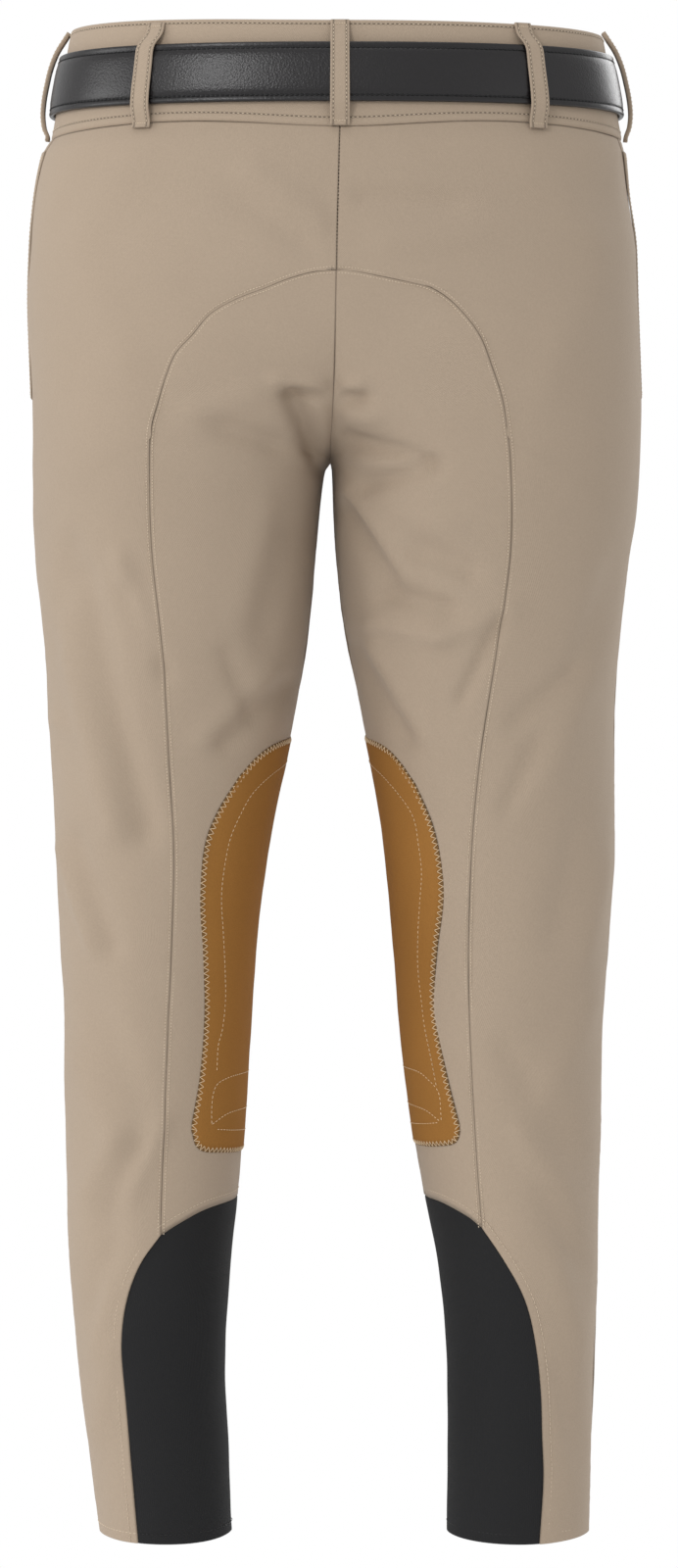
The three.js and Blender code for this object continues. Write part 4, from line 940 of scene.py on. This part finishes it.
def strap_path():
    start, tip = FOLD_END - 0.4, RING + TIP_REACH
    along = np.concatenate([np.linspace(start, RING - 24, 300), np.linspace(RING - 22, RING + 50, 48),
                            np.linspace(RING + 52, tip - 13, 28),
                            tip - np.array([11, 9, 7, 5, 3.2, 1.8, 0.8, 0.2])])
    near_tip = np.clip((along - (tip - 12)) / 12, 0, 1)
    return np.stack([along, strap_out(along)], -1), np.sqrt(1 - 0.86 * near_tip ** 2)


def strap_to_belt(along, out, across):
    return along, BELT_MIDDLE + across, out


def belt_strap():
    path, shrink = strap_path()
    flat, padded = (strip_profile(BELT_WIDTH, BELT, BELT_ROW, dip=0.55, crown=crown, edge=1.2)
                    for crown in (0, 0.75))
    outside = smooth_step(TIP_REACH + 4, TIP_REACH + 24, path[:, 0])[:, None, None]
    strap = strip("belt_strap_leather", path, flat + (padded - flat) * outside, strap_to_belt, shrink=shrink)
    for n in range(-2, 3):
        along = RING + HEEL_ALONG - 7 + n * HOLE_SPACING
        out = float(strap_out(np.array(along)))
        low, high = (Vector(from_belt(along, BELT_MIDDLE, out + h) * MM) for h in (-1.9, 4))
        bpy.ops.object.select_all(action="DESELECT")
        bpy.ops.mesh.primitive_cylinder_add(vertices=20, radius=HOLE_RADIUS * MM, depth=(high - low).length,
                                            location=(low + high) / 2,
                                            rotation=(high - low).to_track_quat("Z", "Y").to_euler())
        punch = bpy.context.object
        cut = strap.modifiers.new("hole", "BOOLEAN")
        cut.object, cut.solver = punch, "EXACT"
        bpy.context.view_layer.objects.active = strap
        bpy.ops.object.modifier_apply(modifier="hole")
        bpy.data.objects.remove(punch)
    return strap


def belt_head():
    """The strap's buckle end, folded round the heel bar and back under itself."""
    thick = BELT / 2
    wrap = HEEL_RADIUS + 0.35 + thick / 2
    end = FOLD_END
    middle = float(strap_out(np.array(end)))
    turn = np.radians(np.linspace(-90, -270, 24))
    bend = np.stack([HEEL_ALONG + wrap * np.cos(turn), HEEL_OUT + wrap * np.sin(turn)], -1)
    under, over = middle - thick / 2, middle + thick / 2
    inside = smooth_curve([(end, under), (HEEL_ALONG + 10, under - 0.2), bend[0]], 1)
    outside = smooth_curve([bend[-1], (HEEL_ALONG + 10, over + 0.5), (end, over)], 1)
    path = np.concatenate([inside[:-1], bend, outside[1:]])
    profile = strip_profile(BELT_WIDTH, thick, BELT_ROW, edge=0.8)
    return strip("belt_fold_leather", path, profile, strap_to_belt)


def belt_rows():
    path, shrink = strap_path()
    shown = (path[:, 0] > TIP_REACH + 6) & (path[:, 0] < RING + TIP_REACH - 5)
    return [strip_row(path[shown], strap_to_belt, across, BELT / 2 - 0.14, 3.0, shrink[shown], 0.82)
            for across in (-BELT_ROW, BELT_ROW)]


def belt_keeper():
    along, width, gap, corner = HEEL_ALONG + 26, 10.0, 0.9, 1.6
    outer = float(strap_out(np.array(RING + along - width / 2))) + BELT / 2 + 1.5
    low, high, inner = BELT_BOTTOM - gap - 0.4, BELT_TOP + gap + 0.4, BELT_LIFT + 0.5
    path = []
    for height, out, start in ((low + corner, inner + corner, 180), (high - corner, inner + corner, 270),
                               (high - corner, outer - corner, 0), (low + corner, outer - corner, 90)):
        path += [(height + corner * math.cos(turn), out + corner * math.sin(turn))
                 for turn in np.radians(np.linspace(start, start + 90, 7))]

    def to_belt(height, out, across):
        return along + across, height, out

    profile = strip_profile(width, 1.4, KEEPER_ROW, edge=0.6)
    piece = strip("belt_keeper_leather", np.array(path)[::-1], profile, to_belt, closed=True)
    face = np.stack([np.linspace(high - 1.8, low + 1.8, 40), np.full(40, outer)], -1)
    return piece, [strip_row(face[::-1], to_belt, w, 0.6, 2.6) for w in (-KEEPER_ROW, KEEPER_ROW)]


def into_belt_space(piece, name):
    """Moves a piece made flat, x along the belt, y out and z up, to its place round the waist."""
    flat = np.empty(len(piece.data.vertices) * 3)
    piece.data.vertices.foreach_get("co", flat)
    along, out, height = flat.reshape(-1, 3).T / MM
    piece.data.vertices.foreach_set("co", (from_belt(along, height + BELT_MIDDLE, out) * MM).ravel())
    bpy.ops.object.mode_set(mode="EDIT")
    bpy.ops.mesh.select_all(action="SELECT")
    bpy.ops.mesh.normals_make_consistent(inside=False)
    bpy.ops.object.mode_set(mode="OBJECT")
    bpy.ops.object.shade_smooth()
    piece.name = name
    return piece


def buckle_frame():
    """A rounded rectangle of round bar: a plane with bevelled corners, kept as a loop and thickened."""
    length, height = HEEL_ALONG - TOE_ALONG, BELT_WIDTH + 2 * (0.6 + TOE_RADIUS)
    bpy.ops.object.select_all(action="DESELECT")
    bpy.ops.mesh.primitive_plane_add(size=1, rotation=(math.radians(90), 0, 0))
    piece = bpy.context.object
    bpy.ops.object.transform_apply(location=True, rotation=True, scale=True)
    bpy.ops.object.mode_set(mode="EDIT")
    bpy.ops.transform.resize(value=(length * MM, 1, height * MM))
    bpy.ops.transform.translate(value=((HEEL_ALONG + TOE_ALONG) / 2 * MM, 0, 0))
    bpy.ops.mesh.bevel(offset=3.2 * MM, segments=6, affect="VERTICES")
    bpy.ops.mesh.delete(type="ONLY_FACE")
    bpy.ops.mesh.select_all(action="SELECT")
    bpy.ops.mesh.subdivide(number_cuts=3)
    bpy.ops.object.mode_set(mode="OBJECT")
    bpy.ops.object.convert(target="CURVE")
    curve = bpy.context.object.data
    curve.bevel_depth, curve.bevel_resolution = TOE_RADIUS * MM, 4
    for point in curve.splines[0].points:
        share = (HEEL_ALONG - point.co.x / MM) / length
        thicker = (TOE_RADIUS - HEEL_RADIUS) * float(smooth_step(0, 0.3, share))
        point.radius = (HEEL_RADIUS + thicker) / TOE_RADIUS
        point.co.y = (HEEL_OUT + (TOE_OUT - HEEL_OUT) * float(smooth_step(0.1, 0.9, share))) * MM
    bpy.ops.object.convert(target="MESH")
    return into_belt_space(bpy.context.object, "buckle_frame_metal")


def buckle_prong():
    """A round wire spun round the heel bar into its eye, then drawn out over the toe bar."""
    wire, shank = 1.0, 1.3
    eye = HEEL_RADIUS + 0.35 + wire
    start, turned = math.radians(-160), math.radians(240)
    bpy.ops.object.select_all(action="DESELECT")
    bpy.ops.mesh.primitive_circle_add(
        vertices=12, radius=wire * MM, fill_type="NGON", rotation=(math.radians(90), 0, start),
        location=((HEEL_ALONG + eye * math.cos(start)) * MM, (HEEL_OUT + eye * math.sin(start)) * MM, 0))
    piece = bpy.context.object
    bpy.ops.object.transform_apply(location=True, rotation=True, scale=True)
    bpy.ops.object.mode_set(mode="EDIT")
    bpy.ops.mesh.spin(steps=16, angle=-turned, center=(HEEL_ALONG * MM, HEEL_OUT * MM, 0), axis=(0, 0, 1))
    end = start + turned
    rest = TOE_OUT + TOE_RADIUS + 0.3 + shank
    line = smooth_curve([(HEEL_ALONG + eye * math.cos(end), HEEL_OUT + eye * math.sin(end)), (12.8, 7.2),
                         (9.6, 8.7), (5.8, 10.9), (0.5, 11.6), (-8, rest + 0.8), (TOE_ALONG, rest),
                         (TOE_ALONG - 3, rest - 0.2)], 1.6)
    heading = end + math.pi / 2
    radius = wire
    for before, here in zip(line, line[1:]):
        step = (here - before) * MM
        bpy.ops.mesh.extrude_region_move(TRANSFORM_OT_translate={"value": (step[0], step[1], 0)})
        centre = (here[0] * MM, here[1] * MM, 0)
        ahead = math.atan2(step[1], step[0]) % (2 * math.pi)
        bpy.ops.transform.rotate(value=heading - ahead, orient_axis="Z", center_override=centre)
        thicker = (shank - wire) * float(smooth_step(10, 2, here[0]))
        wanted = wire + thicker - 0.45 * float(smooth_step(-18.5, -21, here[0]))
        bpy.ops.transform.resize(value=(wanted / radius,) * 3, center_override=centre)
        heading, radius = ahead, wanted
    bpy.ops.object.mode_set(mode="OBJECT")
    return into_belt_space(piece, "buckle_prong_metal")


# Materials

def group(name, inputs, outputs):
    """A new shared node group, with its input and output nodes."""
    tree = bpy.data.node_groups.new(name, "ShaderNodeTree")
    for label, kind, value in inputs:
        socket = tree.interface.new_socket(label, in_out="INPUT", socket_type=kind)
        if value is not None:
            socket.default_value = value
    for label in outputs:
        tree.interface.new_socket(label, in_out="OUTPUT", socket_type="NodeSocketFloat")
    return tree, tree.nodes.new("NodeGroupInput").outputs, tree.nodes.new("NodeGroupOutput").inputs


def feed(tree, value, socket):
    """Links a socket to another, or sets its plain value."""
    if isinstance(value, (int, float)):
        socket.default_value = value
    else:
        tree.links.new(value, socket)


def maths(tree, operation, *values):
    node = tree.nodes.new("ShaderNodeMath")
    node.operation = operation
    for value, socket in zip(values, node.inputs):
        feed(tree, value, socket)
    return node.outputs[0]


def noise(tree, vector, scale, detail=3.0, rough=0.55):
    node = tree.nodes.new("ShaderNodeTexNoise")
    for value, label in ((scale, "Scale"), (detail, "Detail"), (rough, "Roughness"), (vector, "Vector")):
        feed(tree, value, node.inputs[label])
    return node.outputs["Fac"]


def weave_group():
    """Fine diagonal twill on a piece's own cut: the height of its yarns."""
    tree, given, result = group("twill weave", [("Cut", "NodeSocketVector", None),
                                                ("Yarns per metre", "NodeSocketFloat", 1900.0)], ["Height"])
    split = tree.nodes.new("ShaderNodeSeparateXYZ")
    feed(tree, given["Cut"], split.inputs[0])
    u, v = (maths(tree, "MULTIPLY", split.outputs[k], given["Yarns per metre"]) for k in (0, 1))
    wale = maths(tree, "SINE", maths(tree, "MULTIPLY", maths(tree, "MULTIPLY_ADD", v, 0.5, u), math.pi))
    yarn = maths(tree, "SINE", maths(tree, "MULTIPLY", maths(tree, "SUBTRACT", v, u), math.pi))
    feed(tree, maths(tree, "MULTIPLY_ADD", yarn, 0.4, wale), result["Height"])
    return tree


def tone_group():
    """Uneven tone of a worn surface, broad patches and a fine fleck, as a factor round 1."""
    inputs = [("Place", "NodeSocketVector", None), ("Broad", "NodeSocketFloat", 0.06),
              ("Fleck", "NodeSocketFloat", 0.08), ("Fleck scale", "NodeSocketFloat", 900.0)]
    tree, given, result = group("uneven tone", inputs, ["Factor"])
    broad = maths(tree, "SUBTRACT", noise(tree, given["Place"], 9.0, 2.0), 0.5)
    fleck = maths(tree, "SUBTRACT", noise(tree, given["Place"], given["Fleck scale"], 2.0), 0.5)
    patches = maths(tree, "MULTIPLY", broad, given["Broad"])
    flecks = maths(tree, "MULTIPLY_ADD", fleck, given["Fleck"], patches)
    feed(tree, maths(tree, "MULTIPLY_ADD", flecks, 2.0, 1.0), result["Factor"])
    return tree


WEAVE, TONE = weave_group(), tone_group()


def use(tree, shared, **values):
    node = tree.nodes.new("ShaderNodeGroup")
    node.node_tree = shared
    for label, value in values.items():
        feed(tree, value, node.inputs[label.replace("_", " ")])
    return node.outputs[0]


class Finish:
    """A material under way: its nodes, its shader and its coordinates."""

    def __init__(self, name, colour, roughness, **plain):
        self.material = bpy.data.materials.new(name)
        self.material.use_nodes = True
        self.tree = self.material.node_tree
        self.shader = self.tree.nodes["Principled BSDF"]
        self.colour = colour
        for label, value in {"Roughness": roughness, **plain}.items():
            self.shader.inputs[label.replace("_", " ")].default_value = value
        coordinates = self.tree.nodes.new("ShaderNodeTexCoord")
        self.place, self.cut = coordinates.outputs["Object"], coordinates.outputs["UV"]

    def tint(self, factor):
        scaled = self.tree.nodes.new("ShaderNodeVectorMath")
        scaled.operation = "SCALE"
        scaled.inputs[0].default_value = self.colour
        feed(self.tree, factor, scaled.inputs["Scale"])
        feed(self.tree, scaled.outputs[0], self.shader.inputs["Base Color"])

    def bump(self, height, strength, distance):
        node = self.tree.nodes.new("ShaderNodeBump")
        for value, label in ((strength, "Strength"), (distance, "Distance"), (height, "Height")):
            feed(self.tree, value, node.inputs[label])
        feed(self.tree, node.outputs["Normal"], self.shader.inputs["Normal"])

    # Darkens the colour where the seam attribute marks painted shade.
    def painted_shade_factor(self, shade):
        seam = self.tree.nodes.new("ShaderNodeAttribute")
        seam.attribute_name = "seam"
        return maths(self.tree, "MULTIPLY_ADD", seam.outputs["Fac"], -shade, 1.0)


def twill_finish():
    made = Finish("breeches twill", (0.375, 0.294, 0.219), 0.86, Sheen_Weight=0.08, Sheen_Roughness=0.6,
                  Specular_IOR_Level=0.2)
    weave = use(made.tree, WEAVE, Cut=made.cut)
    tone = use(made.tree, TONE, Place=made.place, Broad=0.04, Fleck=0.09)
    # Painted shade: the twill is darker along its seams, pressed rows, trim edges and the grooves of its
    # loops.
    factor = maths(made.tree, "MULTIPLY", tone, made.painted_shade_factor(0.62))
    made.tint(maths(made.tree, "MULTIPLY", factor, maths(made.tree, "MULTIPLY_ADD", weave, 0.018, 1.0)))
    made.bump(weave, 0.25, 0.0002)
    return made.material


def thread_finish(name, colour, roughness=0.6):
    made = Finish(name, colour, roughness, Specular_IOR_Level=0.3)
    made.tint(use(made.tree, TONE, Place=made.place, Broad=0.02, Fleck=0.2, Fleck_scale=2500.0))
    return made.material


def suede_finish():
    made = Finish("suede", (0.300, 0.140, 0.036), 0.95, Specular_IOR_Level=0.06)
    tone = use(made.tree, TONE, Place=made.place, Broad=0.14, Fleck=0.2, Fleck_scale=1400.0)
    # Painted shade: the suede is darker towards its edge.
    made.tint(maths(made.tree, "MULTIPLY", tone, made.painted_shade_factor(0.3)))
    made.bump(noise(made.tree, made.place, 1800.0, 4.0, 0.7), 0.5, 0.0003)
    return made.material


def knit_finish():
    made = Finish("stretch knit", (0.0165, 0.0165, 0.0172), 0.9, Specular_IOR_Level=0.2)
    made.tint(use(made.tree, TONE, Place=made.place, Broad=0.05, Fleck=0.16, Fleck_scale=1300.0))
    split = made.tree.nodes.new("ShaderNodeSeparateXYZ")
    feed(made.tree, made.cut, split.inputs[0])
    wale = maths(made.tree, "SINE", maths(made.tree, "MULTIPLY", split.outputs[0], 5200.0))
    course = maths(made.tree, "SINE", maths(made.tree, "MULTIPLY", split.outputs[1], 7200.0))
    made.bump(maths(made.tree, "MULTIPLY_ADD", course, 0.5, wale), 0.3, 0.0002)
    return made.material


def leather_finish():
    made = Finish("belt leather", (0.008, 0.0068, 0.0076), 0.3, Specular_IOR_Level=0.45)
    tone = use(made.tree, TONE, Place=made.place, Broad=0.12, Fleck=0.3, Fleck_scale=420.0)
    # Painted shade: the leather is darker in the grooves of its stitch rows.
    made.tint(maths(made.tree, "MULTIPLY", tone, made.painted_shade_factor(0.7)))
    cells = made.tree.nodes.new("ShaderNodeTexVoronoi")
    feed(made.tree, 760.0, cells.inputs["Scale"])
    feed(made.tree, made.place, cells.inputs["Vector"])
    fine = noise(made.tree, made.place, 1300.0)
    made.bump(maths(made.tree, "MULTIPLY_ADD", fine, 1.2, cells.outputs["Distance"]), 0.5, 0.00018)
    return made.material


def metal_finish():
    made = Finish("buckle metal", (0.60, 0.59, 0.57), 0.26, Metallic=1.0)
    made.tint(use(made.tree, TONE, Place=made.place, Broad=0.04, Fleck=0.06, Fleck_scale=700.0))
    made.bump(noise(made.tree, made.place, 1500.0, 2.0), 0.08, 0.0002)
    return made.material


TWILL, SUEDE_HIDE, KNIT = twill_finish(), suede_finish(), knit_finish()
LEATHER, METAL = leather_finish(), metal_finish()
KHAKI_THREAD = thread_finish("khaki thread", (0.64, 0.53, 0.40))
# The notches' dark brown is painted shade.
NOTCH_SHADE = thread_finish("painted notch shade", (0.16, 0.088, 0.032), 0.95)
# Dark dashes along the centre-back seam: stitches coloured as the shade in the seam's groove, so partly real
# stitches and partly painted shade.
SEAM_THREAD_AND_SHADE = thread_finish("seam thread and painted shade", (0.13, 0.098, 0.07))
CREAM_THREAD = thread_finish("cream thread", (0.74, 0.57, 0.37))
BLACK_THREAD = thread_finish("black thread", (0.022, 0.022, 0.023), 0.45)


def finished(piece, material, slot, *replaced):
    """Gives a piece its material, sets it to ride on the root, and hides the solids it stands for."""
    piece.data.materials.clear()
    piece.data.materials.append(material)
    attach(piece, "root")
    if replaced:
        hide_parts(*replaced)
    return piece


# Camera, light and floor

def lamp(name, where, size, power):
    light = bpy.data.lights.new(name, "AREA")
    light.size, light.energy = size, power
    holder = bpy.data.objects.new(name, light)
    holder.location = where
    holder.rotation_euler = (Vector((0, 0, -0.42)) - Vector(where)).to_track_quat("-Z", "Y").to_euler()
    bpy.context.scene.collection.objects.link(holder)


def studio():
    scene = bpy.context.scene
    camera = bpy.data.objects.new("camera", bpy.data.cameras.new("camera"))
    camera.data.lens, camera.data.sensor_width, camera.data.clip_end = 168.75, 36, 60
    camera.location = (0, 4.5, -0.426)
    camera.rotation_euler = (math.radians(90), 0, math.radians(180))
    scene.collection.objects.link(camera)
    scene.camera = camera
    scene.view_settings.view_transform = "Standard"

    scene.world = bpy.data.worlds.new("studio")
    scene.world.use_nodes = True
    tree = scene.world.node_tree
    seen, lit = tree.nodes["Background"], tree.nodes.new("ShaderNodeBackground")
    for background, strength in ((seen, 1.0), (lit, 0.72)):
        background.inputs["Color"].default_value = (1, 1, 1, 1)
        background.inputs["Strength"].default_value = strength
    mix, path = tree.nodes.new("ShaderNodeMixShader"), tree.nodes.new("ShaderNodeLightPath")
    tree.links.new(path.outputs["Is Camera Ray"], mix.inputs[0])
    tree.links.new(lit.outputs[0], mix.inputs[1])
    tree.links.new(seen.outputs[0], mix.inputs[2])
    tree.links.new(mix.outputs[0], tree.nodes["World Output"].inputs[0])

    lamp("key", (1.75, 3.3, 1.25), 1.0, 40)
    lamp("side", (3.4, 0.7, 0.3), 1.8, 34)
    lamp("fill", (-2.8, 2.2, 0.2), 2.4, 4)
    lamp("front key", (-1.9, -3.0, 0.8), 2.0, 36)
    lamp("top", (0.2, 0.3, 2.6), 2.0, 14)

    bpy.ops.object.select_all(action="DESELECT")
    bpy.ops.mesh.primitive_plane_add(size=3.8, location=(0, 0, -1.12))
    floor = bpy.context.object
    floor.name = "floor"
    pale = bpy.data.materials.new("pale floor")
    pale.use_nodes = True
    pale.node_tree.nodes["Principled BSDF"].inputs["Base Color"].default_value = (0.95, 0.95, 0.95, 1)
    pale.node_tree.nodes["Principled BSDF"].inputs["Roughness"].default_value = 0.9
    floor.data.materials.append(pale)


studio()


def sewn(piece, material, slot, node):
    """Finishes a piece of cloth or leather, and hides the solid it replaces."""
    finished(piece, material, slot, node)


PANELS = {"back": back_panel, "front": front_panel, "seat": seat_panel, "calf": calf_panel}
THICK_THREAD, SEAM_THREAD_RADIUS, PATCH_THREAD, THIN_THREAD = 0.27, 0.3, 0.22, 0.2


for side, seed in (("left", 3), ("right", 8)):
    for kind, make in PANELS.items():
        piece = make(side, seed)
        if kind == "calf":
            sewn(piece, KNIT, "stretch_knit", f"calf_{side}")
        else:
            sewn(piece, TWILL, "breeches_cloth", f"{kind}_{side}")
        seed += 1
    sewn(waistband(side), TWILL, "breeches_cloth", f"waistband_{side}")
    sewn(knee_patch(side), SUEDE_HIDE, "suede_patch", f"knee_patch_{side}")
    sewn(pocket_mouth(side), TWILL, "breeches_cloth", f"pocket_mouth_{side}")

    lines = LINES[side]
    calf_edge = lines["calf_edge"]
    over_calf = np.concatenate([over_inner_leg(calf_edge[::-1]), round_inner_leg(lines["calf_top"])[1:],
                                front_of(calf_edge)[1:]])
    rows = [cloth_row(side, lines["arch_and_leg"][3:], aside, 1.9, 0.05, 0.6) for aside in (-1.8, 1.8)]
    rows += [band_row(side, TOP_ROW), band_row(side, FOOT_ROW), *pocket_rows(side)]
    hem = level_line(along_line(front_of(calf_edge), 1.0), along_line(calf_edge, 1.0), hem_z)
    rows.append(cloth_row(side, hem + (0, 6), 0, 2.8, -0.08))
    finished(threads(f"khaki_stitches_{side}", rows, THICK_THREAD), KHAKI_THREAD, "breeches_cloth")

    # The centre-back seam's stitches, dark as painted shade in its groove.
    rows = [cloth_row(side, lines["centre_back"], 0, 2.2, -0.4, 0.6)]
    finished(threads(f"seam_stitches_and_shade_{side}", rows, SEAM_THREAD_RADIUS), SEAM_THREAD_AND_SHADE, "breeches_cloth")

    rows = [cloth_row(side, over_calf, 5.0, 2.8, -0.08)]
    finished(threads(f"calf_edge_stitches_{side}", rows, THIN_THREAD), KHAKI_THREAD, "breeches_cloth")

    knit_hem = level_line(along_line(over_inner_leg(calf_edge), 1.0),
                          along_line(front_of(calf_edge), 1.0), hem_z)
    rows = [cloth_row(side, knit_hem + (0, 6), 0, 2.8, -0.5)]
    finished(threads(f"knit_hem_stitches_{side}", rows, THIN_THREAD), BLACK_THREAD, "stretch_knit")

    patch = patch_lines(side)
    outline = np.concatenate([over_inner_leg(patch["edge"])[::-1], round_inner_leg(patch["top"])[1:],
                              front_of(patch["edge"])[1:], round_inner_leg(patch["foot"])[::-1][1:]])
    zigzag, corners = zigzag_row(side, outline, -2.6, 0.5, 3.7)
    finished(notch_shade_pieces(f"patch_notch_shade_{side}", *corners), NOTCH_SHADE, "suede_patch")
    rows = [zigzag]
    for height, places in PATCH_ROWS[side]:
        line = round_inner_leg(from_inner_leg(side, height, places))
        rows.append(cloth_row(side, line, 0, 3.0, PATCH_LIFT + SUEDE, 0.6))
    finished(threads(f"patch_stitches_{side}", rows, PATCH_THREAD), CREAM_THREAD, "suede_patch")

sewn(fly_lap(), TWILL, "breeches_cloth", "fly_lap")
finished(threads("fly_stitches", [fly_row(4.0), fly_row(7.5)], THIN_THREAD), KHAKI_THREAD, "breeches_cloth")

loop_rows = []
for name, *placed in LOOPS:
    piece, rows = belt_loop(name, *placed)
    finished(piece, TWILL, "breeches_cloth", name)
    loop_rows += rows
finished(threads("loop_stitches", loop_rows, THICK_THREAD), KHAKI_THREAD, "breeches_cloth")

finished(belt_strap(), LEATHER, "belt_leather", "belt_strap")
finished(belt_head(), LEATHER, "belt_leather")
keeper, keeper_rows = belt_keeper()
finished(keeper, LEATHER, "belt_leather", "belt_keeper")
finished(threads("belt_stitches", belt_rows() + keeper_rows, 0.28), BLACK_THREAD, "belt_leather")
finished(buckle_frame(), METAL, "buckle_metal", "buckle_frame")
finished(buckle_prong(), METAL, "buckle_metal", "buckle_prong")
